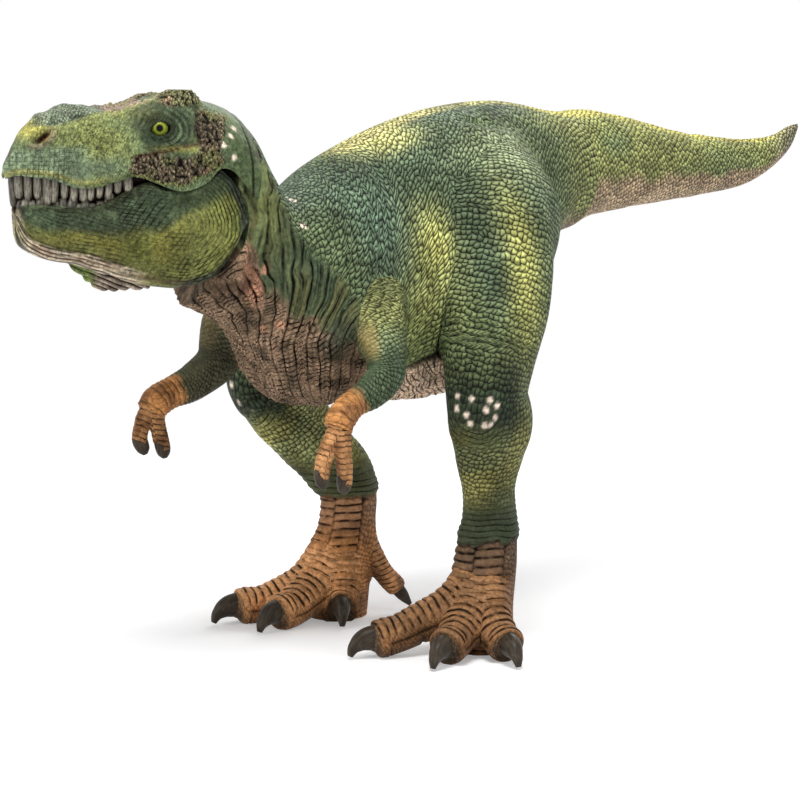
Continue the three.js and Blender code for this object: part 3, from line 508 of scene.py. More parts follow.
def finger_tube(side, which, steps, sizes):
    rows = smooth(np.column_stack([FINGER_ROWS[side][which], sizes]), steps)
    size = rows[:, 3:4] * FINGER
    return swept(np.hstack([shoulder(side) + rows[:, :3] * ARM, size, size]), (0, 1, 0))


def settle(points, own, others, reach, sink=0.3):
    """Eases a grid onto the rounded union of its tube and others, whose distance is the least of
    theirs less (reach - their difference)² / (4 reach), by three steps down its slope. Points
    under a neighbour sink a little, which leaves a moulded seam."""
    flat = points.reshape(-1, 3).copy()
    first = np.min([tube.field(flat) for tube in others], axis=0)
    spots = np.flatnonzero((first < reach) & (first > -2.5 * reach))
    p = flat[spots]
    cover = ease(-first[spots], 0.0, 1.0) * sink
    hold = ease(first[spots], -2.5 * reach, -1.3 * reach)

    def union(q):
        f = own.field(q)
        for tube in others:
            g = tube.field(q)
            h = np.maximum(reach - np.abs(f - g), 0)
            f = np.minimum(f, g) - h * h / (4 * reach)
        return f

    for _ in range(3):
        f = union(p) + cover
        slope = np.stack([(union(p + e) - union(p - e)) / 0.1 for e in np.eye(3) * 0.05], 1)
        size = np.maximum(np.sum(slope**2, 1), 0.3)
        p = p - np.clip(hold * f / size, -1.5, 1.5)[:, None] * slope
    flat[spots] = p
    return flat.reshape(points.shape)


def normals(points):
    """Outward normals of a grid closed round its rings: the cross product of its two steps."""
    across = np.roll(points, -1, 1) - np.roll(points, 1, 1)
    along = np.gradient(points, axis=0)
    n = np.cross(across, along)
    n /= np.maximum(np.linalg.norm(n, axis=2, keepdims=True), 1e-9)
    out = np.sum(n * (points - points.mean(1, keepdims=True)))
    return n if out > 0 else -n


def mixed(base, colour, share):
    """base * (1 - share) + colour * share."""
    return base * (1 - share[..., None]) + np.asarray(colour) * share[..., None]


def plain(points, colour):
    return np.broadcast_to(np.asarray(colour, float), points.shape).copy()


def layered(paint, *coats):
    """Coats of paint one over the other, each a colour and its share."""
    for colour, share in coats:
        paint = mixed(paint, colour, share)
    return paint


def mottled(points, one, other, size, seed, low=-0.1, high=0.5, most=1.0):
    """One colour with clouds of another, whose share eases in from low to high in the noise."""
    return mixed(plain(points, one), other, ease(cloud(points, size, seed), low, high) * most)


def spots(points, paint, places, size, colour, seed=0):
    """Painted dots with uneven rims: inside where distance is under the size, less some noise."""
    wobble = cloud(points, 0.7, seed) * 0.22
    for place in places:
        away = np.linalg.norm(points - np.array(place), axis=-1)
        paint = mixed(paint, colour, 1 - ease(away / size + wobble, 0.6, 1.2))
    return paint


# ---- meshes ----
def lengths(points):
    """Way round each ring from its first column, and along each column, in millimetres."""
    steps = np.linalg.norm(np.roll(points, -1, 1) - points, axis=2)
    u = np.hstack([np.zeros((len(points), 1)), np.cumsum(steps, 1)])
    along = np.linalg.norm(np.diff(points, axis=0), axis=2)
    v = np.vstack([np.zeros((1, points.shape[1])), np.cumsum(along, 0)])
    return u, np.hstack([v, v[:, :1]])


def way_along(points, same=False):
    """Millimetres along each column, or the same for a whole ring, by its first column."""
    _, v = lengths(points)
    return np.broadcast_to(v[:, :1], points.shape[:2]) if same else v[:, :-1]


def ring_angle(points):
    """Angle of each point round its ring, from the ring's first axis."""
    count = points.shape[1]
    return np.broadcast_to(np.arange(count) / count * 2 * np.pi, points.shape[:2])


def unrolled(points, seam):
    """The skin laid flat for its scales: u is the share of the way round from the seam's column
    times the rings' eased girth, v the mean way along. Kept for each face's two sides, so that u
    doesn't jump back at the seam."""
    u, v = lengths(points)
    rows = len(points)
    girth = u[:, -1]
    reach = max(rows // 6, 1)
    padded = np.pad(girth, reach, mode="edge")
    girth = np.convolve(padded, np.ones(2 * reach + 1) / (2 * reach + 1), mode="valid")
    share = u / np.maximum(u[:, -1:], 1e-6)
    start = share[:, seam : seam + 1]
    left = np.mod(share[:, :-1] - start + 1e-9, 1.0)
    right = left + np.diff(share, axis=1)
    mean = v[:, :-1].mean(1, keepdims=True) + 0 * left
    return (left - 0.5) * girth[:, None], (right - 0.5) * girth[:, None], mean


def skin(points, paint, seam=None, **masks):
    """A closed grid with its paint and masks: strengths of groove, which is painted shade, pebbled,
    cracked, speckled and worn; across and along, the phases of its two sets of creases, which are
    darkened as painted shade; and the strengths of both."""
    shape = points.shape[:2]

    def three(*names):
        return np.stack([np.broadcast_to(masks.get(name, 0.0), shape) for name in names], -1)

    return {
        "points": points,
        "paint": paint,
        "seam": points.shape[1] // 2 if seam is None else seam,
        "relief": three("groove", "pebbled", "cracked"),
        "creases": three("across", "along", "speckled"),
        "strength": three("across_strength", "along_strength", "worn"),
    }


def piece(name, skins, finish, body="figure", stands_for=()):
    """One mesh of closed skins, with a point to close each end of each grid. Its points are
    shifted to the part's own frame, clipped just inside the CAD box and turned into metres."""
    points_all, corners, starts, lies = [], [], [], []
    fields = {"paint": [], "relief": [], "creases": [], "strength": []}
    base = loops = 0
    for part in skins:
        points = part["points"]
        rows, count = points.shape[:2]
        left, right, v = unrolled(points, part["seam"])
        # quads between neighbouring rings, and where their corners lie on the unrolled skin
        i, j = np.meshgrid(np.arange(rows - 1), np.arange(count), indexing="ij")
        k = (j + 1) % count
        quad = [i * count + j, i * count + k, (i + 1) * count + k, (i + 1) * count + j]
        lie = [(left[:-1], v[:-1]), (right[:-1], v[:-1]), (right[1:], v[1:]), (left[1:], v[1:])]
        quad = np.stack(quad, -1).reshape(-1, 4)
        lie = np.stack([np.stack(corner, -1) for corner in lie], 2).reshape(-1, 4, 2)
        # all faces turned outward
        facing = np.cross(points[:-1] - np.roll(points[:-1], -1, 1), points[1:] - points[:-1])
        turn = -1
        if np.sum(facing * normals(points)[:-1]) > 0:
            quad, lie = quad[:, ::-1], lie[:, ::-1]
            turn = 1
        # fans that close both ends
        c = np.arange(count)
        first = np.stack([np.full(count, rows * count), c, (c + 1) % count][::turn], -1)
        last = np.stack([np.full(count, rows * count + 1), (c + 1) % count, c][::turn], -1)
        last[last < rows * count] += (rows - 1) * count
        tri = np.vstack([first, last])
        tri_lie = np.zeros((len(tri), 3, 2))
        tri_lie[count:, :, 1] = v[-1, 0]
        ends = np.stack([points[0].mean(0), points[-1].mean(0)])
        points_all.append(np.vstack([points.reshape(-1, 3), ends]))
        for key, held in fields.items():
            field = part[key]
            held += [field.reshape(-1, 3), field[0].mean(0)[None], field[-1].mean(0)[None]]
        corners += [(quad + base).ravel(), (tri + base).ravel()]
        lies += [lie.reshape(-1, 2), tri_lie.reshape(-1, 2)]
        starts += [loops + 4 * np.arange(len(quad)), loops + 4 * len(quad) + 3 * np.arange(len(tri))]
        base += rows * count + 2
        loops += 4 * len(quad) + 3 * len(tri)
    corners, starts = np.concatenate(corners), np.concatenate(starts)
    low, high = np.array(cad_box) * 1000
    co = np.clip(np.vstack(points_all) + HOME, low + INSET, high - INSET)
    mesh = bpy.data.meshes.new(name)
    mesh.vertices.add(len(co))
    mesh.vertices.foreach_set("co", (co * 0.001).astype(np.float32).ravel())
    mesh.loops.add(len(corners))
    mesh.loops.foreach_set("vertex_index", corners.astype(np.int32))
    mesh.polygons.add(len(starts))
    mesh.polygons.foreach_set("loop_start", starts.astype(np.int32))
    mesh.update(calc_edges=True)
    mesh.polygons.foreach_set("use_smooth", np.ones(len(starts), bool))

    def lay(key, values, kind="FLOAT_VECTOR", domain="POINT", slot="vector"):
        layer = mesh.attributes.new(key, kind, domain)
        layer.data.foreach_set(slot, values.astype(np.float32).ravel())

    colours = np.hstack([np.clip(np.vstack(fields["paint"]), 0, 1), np.ones((len(co), 1))])
    lay("paint", colours, kind="FLOAT_COLOR", slot="color")
    for key in ("relief", "creases", "strength"):
        lay(key, np.vstack(fields[key]))
    flat = np.vstack(lies)
    lay("lie", np.hstack([flat, np.zeros((len(flat), 1))]), domain="CORNER")
    made = bpy.data.objects.new(name, mesh)
    bpy.context.scene.collection.objects.link(made)
    mesh.materials.append(finish)
    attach(made, body)
    if stands_for:
        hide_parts(*stands_for)
    return made


# ---- finishes ----
class Finish:
    """Node tree of one finish, with short ways to add its nodes."""

    def __init__(self, name, sockets):
        self.material = bpy.data.materials.new(name)
        self.material.use_nodes = True
        self.tree = self.material.node_tree
        self.shader = next(n for n in self.tree.nodes if n.type == "BSDF_PRINCIPLED")
        for socket, value in sockets.items():
            self.shader.inputs[socket].default_value = value

    def add(self, kind, inputs=(), **settings):
        node = self.tree.nodes.new(kind)
        for key, value in settings.items():
            setattr(node, key, value)
        for key, value in dict(inputs).items():
            if hasattr(value, "is_output"):
                self.tree.links.new(value, node.inputs[key])
            else:
                node.inputs[key].default_value = value
        return node

    def set(self, socket, value):
        self.tree.links.new(value, self.shader.inputs[socket])

    def attribute(self, name, output="Vector"):
        return self.add("ShaderNodeAttribute", attribute_name=name).outputs[output]

    def parts(self, vector):
        return self.add("ShaderNodeSeparateXYZ", {0: vector}).outputs

    def grey(self, value):
        return self.add("ShaderNodeCombineXYZ", {0: value, 1: value, 2: value}).outputs[0]

    def coordinates(self):
        return self.add("ShaderNodeTexCoord").outputs["Object"]

    def mapped(self, vector, size=(1.0, 1.0, 1.0), turn=0.0):
        inputs = {"Vector": vector, "Scale": size, "Rotation": (0, 0, np.radians(turn))}
        return self.add("ShaderNodeMapping", inputs).outputs[0]

    def noise(self, vector, scale, detail=2.0, rough=0.5, output="Fac"):
        inputs = {"Vector": vector, "Scale": scale, "Detail": detail, "Roughness": rough}
        return self.add("ShaderNodeTexNoise", inputs).outputs[output]

    def cells(self, vector, scale=1.0, randomness=1.0, feature="F1"):
        inputs = {"Vector": vector, "Scale": scale, "Randomness": randomness}
        kind = "ShaderNodeTexVoronoi"
        return self.add(kind, inputs, feature=feature, voronoi_dimensions="2D").outputs

    def math(self, operation, *values, clamp=False):
        inputs = dict(enumerate(values))
        return self.add("ShaderNodeMath", inputs, operation=operation, use_clamp=clamp).outputs[0]

    def product(self, *values, clamp=False):
        """Product of all the values, clamped to 0..1 at its last step where asked."""
        total = values[0]
        for k, value in enumerate(values[1:], 2):
            total = self.math("MULTIPLY", total, value, clamp=clamp and k == len(values))
        return total

    def vector(self, operation, one, other, output=0):
        node = self.add("ShaderNodeVectorMath", {0: one, 1: other}, operation=operation)
        return node.outputs[output]

    def between(self, value, low, high, to_low=0.0, to_high=1.0):
        inputs = {0: value, 1: low, 2: high, 3: to_low, 4: to_high}
        return self.add("ShaderNodeMapRange", inputs, interpolation_type="SMOOTHSTEP").outputs[0]

    def mix(self, share, a, b, how="MIX"):
        node = self.add("ShaderNodeMix", data_type="RGBA", blend_type=how)
        for key, value in ((0, share), (6, a), (7, b)):
            if hasattr(value, "is_output"):
                self.tree.links.new(value, node.inputs[key])
            elif key == 0:
                node.inputs[key].default_value = value
            else:
                node.inputs[key].default_value = (*value, 1.0)
        return node.outputs[2]

    def bump(self, height, distance, strength=1.0):
        inputs = {"Height": height, "Distance": distance, "Strength": strength}
        return self.add("ShaderNodeBump", inputs).outputs[0]


def hide_finish(
    name, bead, slant, down=(1, 0), gap_shade=0.07, rise=0.5, roughness=0.55, crease_shade_and_speck=0.05, grit=0.24
):
    """Painted vinyl hide. Beads are flat cells over the unrolled skin, bead gives their two sizes,
    set in slanting rows, round on top, with a painted highlight above their middles and painted
    shade below and between them; down is the way down on the unrolled skin. Creases are narrow
    lines at the whole numbers of a phase. Grooves, creases, cracks and gaps are darkened as painted
    shade, dark specks are paint, and worn hide has pale scratches."""
    f = Finish(name, {"Specular IOR Level": 0.1})
    place = f.coordinates()
    cavity, pebbled, cracked = f.parts(f.attribute("relief"))
    across, along, speckled = f.parts(f.attribute("creases"))
    across_strength, along_strength, worn = f.parts(f.attribute("strength"))
    paint = f.attribute("paint", "Color")
    # beads, on rows that wander by up to 0.8 mm
    drift = f.noise(place, 240.0, 1.0, output="Color")
    drift = f.vector("MULTIPLY", f.vector("SUBTRACT", drift, (0.5, 0.5, 0.5)), (1.6, 1.6, 1.6))
    lie = f.vector("ADD", f.attribute("lie"), drift)
    rows = f.mapped(f.mapped(lie, turn=slant), (1 / bead[0], 1 / bead[1], 1.0), 45)
    beads = f.cells(rows, randomness=0.5)
    far = beads["Distance"]
    rim = f.cells(rows, randomness=0.5, feature="DISTANCE_TO_EDGE")["Distance"]
    squared = f.math("POWER", f.math("DIVIDE", far, 0.7), 2.0)
    dome = f.math("SQRT", f.math("SUBTRACT", 1.0, squared, clamp=True))
    dome = f.product(dome, f.between(rim, 0.0, 0.2))
    # cracks, creases and specks
    slits = f.mapped(lie, (0.55, 1.0, 1.0))
    slit = f.cells(slits, 0.85, feature="DISTANCE_TO_EDGE")["Distance"]
    slit = f.product(f.between(slit, 0.0, 0.13, 1.0, 0.0), cracked, clamp=True)
    uneven = f.between(f.noise(place, 330.0, 2.0, 0.6), 0.3, 0.65, 0.35, 1.1)
    line = f.between(f.math("PINGPONG", across, 0.5), 0.02, 0.17, 1.0, 0.0)
    line = f.product(line, across_strength, uneven, clamp=True)
    rung = f.between(f.math("PINGPONG", along, 0.5), 0.02, 0.24, 1.0, 0.0)
    rung = f.product(rung, along_strength, uneven, clamp=True)
    speck = f.product(f.between(f.noise(place, 1900.0, 1.0), 0.5, 0.62), speckled, clamp=True)
    # tone: painted highlight on each bead's upper side, painted shade on its lower side and in the gaps
    patchy = f.between(f.noise(place, 110.0, 3.0, 0.6), 0.3, 0.7, 0.7, 1.3)
    grain = f.between(f.noise(place, 1100.0, 3.0, 0.65), 0.3, 0.7, 1 - grit, 1 + grit)
    turn = np.radians(slant)
    turn = np.array([[np.cos(turn), -np.sin(turn)], [np.sin(turn), np.cos(turn)]])
    fall = turn @ down / bead @ np.array([[1, 1], [-1, 1]])
    fall = fall / np.hypot(*fall)
    off = f.vector("SUBTRACT", rows, beads["Position"])
    low = f.vector("DOT_PRODUCT", off, (*fall, 0.0), "Value")
    if down[0]:
        low = f.product(low, f.math("SIGN", f.parts(f.attribute("lie"))[0]))
    between_beads = f.between(far, 0.46, 0.68, 1.0, gap_shade)
    shown = f.math("MINIMUM", f.between(rim, 0.01, 0.12, gap_shade, 1.0), between_beads)
    shown = f.math("MAXIMUM", shown, f.between(low, -0.4, 0.05, 0.62, 0.0))
    each = f.between(f.parts(beads["Color"])[0], 0.0, 1.0, 0.82, 1.2)
    lit = f.product(shown, f.between(low, -0.35, 0.45, 1.6, 0.42), each)
    lit = f.add("ShaderNodeMix", {0: pebbled, 2: 1.0, 3: lit}).outputs[0]
    # painted shade in grooves, creases, rungs, cracks and hollows; the specks are dark paint
    hollow = f.math("MAXIMUM", f.product(slit, 0.85), cavity)
    dark = f.math("MAXIMUM", f.math("MAXIMUM", line, rung), hollow)
    dark = f.math("MAXIMUM", dark, f.product(speck, 0.8), clamp=True)
    crease_shaded_and_specked = f.product(lit, f.between(dark, 0.0, 1.0, 1.05, crease_shade_and_speck))
    tone = f.product(f.product(patchy, grain), crease_shaded_and_specked)
    colour = f.vector("MULTIPLY", paint, f.grey(tone))
    rubbed = f.between(f.noise(f.mapped(place, (1.0, 1.0, 1.6)), 800.0, 3.0, 0.7), 0.56, 0.7)
    f.set("Base Color", f.mix(f.product(rubbed, worn, clamp=True), colour, (0.5, 0.52, 0.4)))
    # relief, in millimetres
    height = f.product(dome, pebbled, rise)
    for mark, depth in ((line, 0.5), (rung, 0.35), (slit, 0.16)):
        height = f.math("SUBTRACT", height, f.product(mark, depth))
    height = f.math("ADD", height, f.product(f.noise(place, 1500.0, 3.0, 0.6), 0.07))
    f.set("Normal", f.bump(height, 0.001))
    rough = f.noise(place, 300.0, 2.0)
    f.set("Roughness", f.between(rough, 0.3, 0.7, roughness - 0.08, roughness + 0.1))
    return f.material


def horn_finish():
    """Dark satin horn of the claws: grey-brown, streaked along, paler where it is worn."""
    f = Finish("claw_horn", {"Roughness": 0.38, "Specular IOR Level": 0.15})
    streak = f.noise(f.mapped(f.attribute("lie"), (1.6, 0.22, 1.0)), 1.0, 3.0, 0.6)
    worn = f.between(f.noise(f.coordinates(), 420.0, 3.0), 0.45, 0.75)
    colour = f.mix(f.between(streak, 0.3, 0.7), (0.022, 0.016, 0.011), (0.055, 0.042, 0.028))
    colour = f.mix(f.product(worn, 0.4), colour, (0.12, 0.095, 0.065))
    f.set("Base Color", f.mix(1.0, colour, f.attribute("paint", "Color"), "MULTIPLY"))
    f.set("Normal", f.bump(streak, 0.00012, 0.7))
    return f.material


def tooth_finish():
    """Cream-grey teeth, brown towards the gum, on the sides that face their neighbours and in the
    streaks.
    """
    f = Finish("tooth_cream", {"Roughness": 0.42})
    cavity = f.parts(f.attribute("relief"))[0]
    streak = f.noise(f.mapped(f.attribute("lie"), (2.6, 0.5, 1.0)), 1.0, 3.0, 0.65)
    dirt = f.noise(f.coordinates(), 700.0, 3.0, 0.6)
    share = f.product(f.between(streak, 0.4, 0.66), 0.8)
    share = f.math("ADD", share, cavity, clamp=True)
    colour = f.mix(f.between(dirt, 0.3, 0.7), (0.17, 0.155, 0.115), (0.4, 0.37, 0.28))
    f.set("Base Color", f.mix(share, colour, (0.05, 0.04, 0.03)))
    f.set("Normal", f.bump(streak, 0.00015, 0.8))
    return f.material


def eye_finish():
    """Clear-coated eye: the paint gives iris, rim and pupil, with fine spokes over them."""
    sockets = {"Roughness": 0.3, "Specular IOR Level": 0.0, "Coat Weight": 0.2, "Coat Roughness": 0.04}
    f = Finish("eye_gloss", sockets)
    spokes = f.between(f.noise(f.coordinates(), 2600.0, 2.0), 0.35, 0.65, 0.8, 1.15)
    f.set("Base Color", f.vector("MULTIPLY", f.attribute("paint", "Color"), f.grey(spokes)))
    return f.material


def steel_finish():
    """Drawn steel rod, with fine scratches along its length."""
    f = Finish("pin_steel", {"Roughness": 0.3, "Metallic": 1.0})
    scratch = f.noise(f.mapped(f.coordinates(), (60.0, 900.0, 900.0)), 1.0, 3.0, 0.6)
    f.set("Base Color", f.mix(f.between(scratch, 0.3, 0.7), (0.5, 0.5, 0.52), (0.68, 0.68, 0.7)))
    f.set("Normal", f.bump(scratch, 0.00002, 0.5))
    return f.material


flank_hide = hide_finish("flank_hide", (1.75, 1.3), 20)
thigh_hide = hide_finish("thigh_hide", (1.45, 1.2), -35, (0, 1))
tail_hide = hide_finish("tail_hide", (1.35, 1.15), 10, gap_shade=0.14, rise=0.36)
foot_hide = hide_finish("foot_hide", (0.85, 0.75), 15, (0, 1), gap_shade=0.25, rise=0.25, grit=0.35)
arm_hide = hide_finish("arm_hide", (1.1, 0.9), 20, (0, 1), gap_shade=0.12, rise=0.34)
head_hide = hide_finish(
    "head_hide", (0.85, 0.75), 0, (0, 0.01), gap_shade=0.18, rise=0.3, roughness=0.45, grit=0.5
)
horn, tooth, eye_gloss = horn_finish(), tooth_finish(), eye_finish()
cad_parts["jaw_pin"].data.materials.clear()
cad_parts["jaw_pin"].data.materials.append(steel_finish())


# ---- torso ----
field_trunk = trunk_tube(4)
field_legs = {side: leg_tube(side, 4) for side in ("left", "right")}
field_arms = {side: arm_tube(side, 5) for side in ("left", "right")}


def pin_plane(points):
    """Distances from the jaw's pin in the head's own unturned frame: ahead, up and across."""
    own = turned(points, -1.0)
    return own[..., 1] - PIN_Y, own[..., 2] - PIN_Z, own[..., 0]


def clear_of_jaw(points, room, reach):
    """Pushes points that lie within the jaw's room straight out from the pin."""
    ahead, up, across = pin_plane(points)
    r = np.maximum(np.hypot(ahead, up), 0.1)
    push = np.where((r < room) & (np.abs(across) < reach), room - r, 0)
    own = turned(points, -1.0)
    own[..., 1] += push * ahead / r
    own[..., 2] += push * up / r
    return turned(own, 1.0)


# Upper edges, in side view, of the rust-brown throat and chest, and of the folded skin
RUST_EDGE = [
    (-95, 106), (-87, 105), (-81, 102), (-78, 92), (-74, 89.5), (-66, 84.5), (-61, 80), (-50, 74),
    (-30, 62),
]
FOLDED_EDGE = [(-90, 150), (-76, 124), (-71, 107), (-64, 100), (-58, 92), (-52, 80), (-46, 60)]
# height, angle of fold 0 and angle between folds, in degrees round the chest's axis
FOLDS = [
    (65, 10, 8.3), (74, 16, 8.3), (79, 21, 8.3), (82, 27, 8.3), (86, 33.7, 8.7), (90, 36, 10.3),
    (94, 37, 12.3), (100, 31.5, 16.3), (106, 31, 17), (116, 31, 17),
]
CHEST_AXIS = -62  # y of the folds' axis, which leans back below a height of 96
BLUSH = [(16.5, -78.5, 97), (14.0, -71.4, 83.5), (14.5, -72, 82.4), (10.4, -73.8, 82.6)]
NECK_DOTS = [(15.9, -66.1, 106.3), (8.7, -62.9, 111.8), (7.5, -63.4, 113)]


def coat(points):
    """Green of the back, flanks and thighs by place alone, so that neighbours match where they
    meet: yellow-green on flank, thigh and crest, blue-green between, and a pale stripe along the
    back that widens into the tail's yellow."""
    x, y, z = np.abs(points[..., 0]), points[..., 1], points[..., 2]
    side = np.stack([y, z], -1)
    paint = mixed(plain(points, SEA), MOSS, 0.6 * ease(cloud(points, 20, 21), -0.3, 0.6))
    low_neck = ease(96 - z, 0, 14) * ease(y, -60, -42) * ease(-y, 18, 26)
    flank = near(side, (-31.5, 101), (6.5, 9.5)) + 0.4 * near(side, (-36, 88), (8, 9))
    thigh = near(side, (-14, 99), (5, 16)) + 0.5 * near(side, (-13, 78), (7, 12))
    crest = near(side, (-35, 127), (11, 5)) * ease(15 - x, 0, 7)
    rear = ease(y, 6, 34)
    ridge = ease(5.5 + 2.5 * rear - np.abs(points[..., 0] + 0.5), 0, 3)
    ridge = ridge * ease(y, -44, -38) * ease(z, 110 - 6 * rear, 116 - 6 * rear)
    stripe = mixed(np.broadcast_to(STRAW, paint.shape), KEEL_YELLOW, rear)
    return layered(
        paint,
        ((0.115, 0.175, 0.12), near(side, (-44, 106), (11, 10)) * 0.8),
        ((0.2, 0.24, 0.085), low_neck * 0.75),
        (LIME, np.clip(flank, 0, 1) * ease(x, 8, 17) * 0.88),
        (LIME, np.clip(thigh, 0, 1) * ease(x, 20, 28) * 0.9),
        ((0.16, 0.2, 0.1), near(side, (-1, 94), (7, 22)) * ease(x, 16, 24) * 0.75),
        ((0.075, 0.115, 0.075), near(side, (-23, 96), (3.2, 18)) * ease(x, 18, 24) * 0.75),
        ((0.38, 0.45, 0.24), near(side, (-6, 123), (14, 8)) * ease(x, 10, 18) * 0.7),
        ((0.085, 0.125, 0.07), near(side, (-33, 117.5), (10, 5)) * ease(x, 8, 14) * 0.8),
        ((0.85, 0.82, 0.28), crest * 0.9),
        (TAIL_TOP, rear * ease(14 - x, 0, 4) * ease(z, 100, 106) * 0.55),
        (stripe, ridge * (0.85 - 0.35 * near(side, (-2, 131), (6, 9)))),
        (TAIL_GREEN, ease(y, 16, 34) * 0.7 * (1 - ridge)),
        (BROWN, ease(y, 18, 32) * ease(107 - z, 0, 6) * 0.8),
    )


def make_torso():
    """Trunk grid eased into thighs and arms. Its folds lie at even angles round an axis in the
    chest: phase = 2 (angle - first) / between, both from a table by height. Soft swells lie
    between them, and short rungs cross them: on the rust-brown throat and chest aslant, on the
    neck at 1.6 phase + 0.5, as fine strands. They fade beside the arms. The belly's creases run
    at 0.6 y + 0.8 |x|."""
    points = trunk_tube(18).grid(330)
    points = settle(points, field_trunk, [*field_legs.values()], 6.0, sink=0.08)
    points = settle(points, field_trunk, [*field_arms.values()], 4.0, sink=0.25)
    n = normals(points)
    x, y, z = points[..., 0], points[..., 1], points[..., 2]
    side = np.stack([y, z], -1)
    # where the throat, neck and belly lie
    wander = 2.2 * cloud(points, 7, 3) + cloud(points, 2.5, 4)
    rust = ease(np.interp(y, *np.transpose(RUST_EDGE)) + 1.5 * wander - z, -1.2, 1.8)
    rust = rust * ease(-30 - y, -6, 4)
    folded = ease(np.interp(y, *np.transpose(FOLDED_EDGE)) + 2 * wander - z, -2.5, 2.5)
    folded = np.maximum(folded * ease(-44 - y, 0, 6), rust)
    neck = np.clip(folded - rust, 0, 1)
    under_jaw = ease(-80 - y, 0, 3) * ease(z, 91, 95)
    belly_top = 72.5 + 0.3 * (y + 28) - z
    belly = ease(belly_top, -0.6, 0.8) * ease(y, -38, -32) * ease(2 - y, 0, 8)
    # folds
    axis = 0.5 * np.clip(96 - z, 0, 40) + CHEST_AXIS
    bearing = np.degrees(np.arctan2(np.abs(x), axis - y))
    level, first, between = np.transpose(FOLDS)
    across = 2 * (bearing - np.interp(z, level, first)) / np.interp(z, level, between)
    across = across + 0.5 * cloud(points, 9, 5) + 0.28 * cloud(points, 3.2, 6)
    strand, stripe = lot(np.round(across), 9), lot(np.round(across + 0.5), 17)
    odd = np.mod(np.round(across), 2) * (0.75 - 0.65 * ease(z, 88, 96))
    by_arm = np.full(y.shape, 9.0)
    close = (np.abs(x) > 12) & (y > -66) & (y < -36) & (z < 98)
    by_arm[close] = np.min([tube.field(points[close]) for tube in field_arms.values()], axis=0)
    free = ease(by_arm, 0.0, 2.0)
    deep = folded * (0.75 + 0.5 * strand) * (0.9 + 0.5 * cloud(points, 7, 8)) * (1 - odd)
    deep = np.clip(deep * (1 - 0.7 * under_jaw), 0, 1) * free
    fine = np.abs(np.sin(np.pi * (1.5 * across + 0.8 * cloud(points, 4, 7)))) - 0.6
    swell = np.abs(np.sin(np.pi * across)) ** 0.7 - 0.6
    aslant = (0.75 * z - 0.66 * y) / (1.15 + 0.5 * under_jaw)
    aslant = aslant + 3 * strand * (1 - under_jaw) + 0.9 * cloud(points, 5, 12)
    rungs = rust * (0.65 + 0.45 * ease(cloud(points, 3.0, 15), -0.4, 0.3)) + 0.15 * folded
    # shape
    bumps = rust * 0.3 * cloud(points, 1.8, 13) + folded * 0.25 * cloud(points, 5, 14)
    spine = ease(3 - np.abs(x), 0, 2) * ease(y, -40, -32) * ease(z, 112, 118)
    crease = near(np.stack([y + 24.5 - 0.06 * (z - 92), z], -1), (0, 88), (2.0, 24))
    crease = crease * ease(np.abs(x), 15, 21)
    under = hump(belly_top, 0, 0.7) * ease(y, -38, -32) * ease(-6 - y, 0, 8)
    lumps = belly * (0.9 + 0.7 * cloud(points, 1.6, 16))
    move = 0.95 * swell * deep + 0.3 * fine * folded * free + bumps * free
    move = move + 0.25 * spine + lumps - 1.7 * crease - 0.7 * under
    points = points + n * (move * ease(TAIL_Y - y, 0, 8))[..., None]
    points = clear_of_jaw(points, PIN_ROOM, 40)
    # paint
    # painted highlight on the crests of the neck's strands
    strand_highlight = ease(swell + 0.4 * fine, 0.1, 0.45) * ease(cloud(points, 4, 25), -0.3, 0.5)
    # throat: mottled rust-brown; its pale patches gather on the swells as painted highlight, and it is
    # darker in the deep folds as painted shade
    throat = layered(
        mottled(points, (0.33, 0.22, 0.135), (0.13, 0.09, 0.055), 3, 23, -0.2),
        (
            (0.4, 0.26, 0.17),
            ease(cloud(points, 1.6, 24), 0.0, 0.5) * (0.3 + 0.7 * ease(swell, 0, 0.4)),
        ),
        ((0.07, 0.05, 0.03), ease(0.1 - swell, 0, 0.35) * deep * 0.7),
    )
    flush = near(side, (-81, 98), (2.0, 7)) + near(side, (-79, 92), (1.6, 5))
    flush = np.clip(flush, 0, 1) * ease(np.abs(x), 10, 14) * ease(stripe, 0.2, 0.5)
    paint = layered(
        coat(points),
        ((0.048, 0.07, 0.04), neck * 0.9),
        ((0.2, 0.22, 0.075), neck * near(side, (-78, 112), (6, 12)) * 0.85),
        ((0.19, 0.23, 0.1), neck * strand_highlight * 0.65),
        ((0.16, 0.15, 0.06), neck * ease(96 - z, -6, 6) * ease(stripe, 0.3, 0.6) * 0.6),
        (throat, rust),
        ((0.075, 0.09, 0.06), near(points, (20, -58, 80), (5, 4.5, 5)) * 0.85),
        ((0.9, 0.65, 0.46), belly * 0.95),
        # painted shade in the crease in front of the thigh
        ((0.06, 0.085, 0.05), crease * 0.75),
        (PINK, flush * 0.9),
    )
    paint = spots(points, paint, BLUSH, 1.2, (0.62, 0.33, 0.2), 2)
    paint = spots(points, paint, NECK_DOTS, 1.0, CREAM, 3)
    # painted shade in the fine furrows of the neck's folds
    paint = mixed(paint, (0.02, 0.027, 0.015), neck * ease(-0.3 - fine, 0, 0.25) * 0.6)
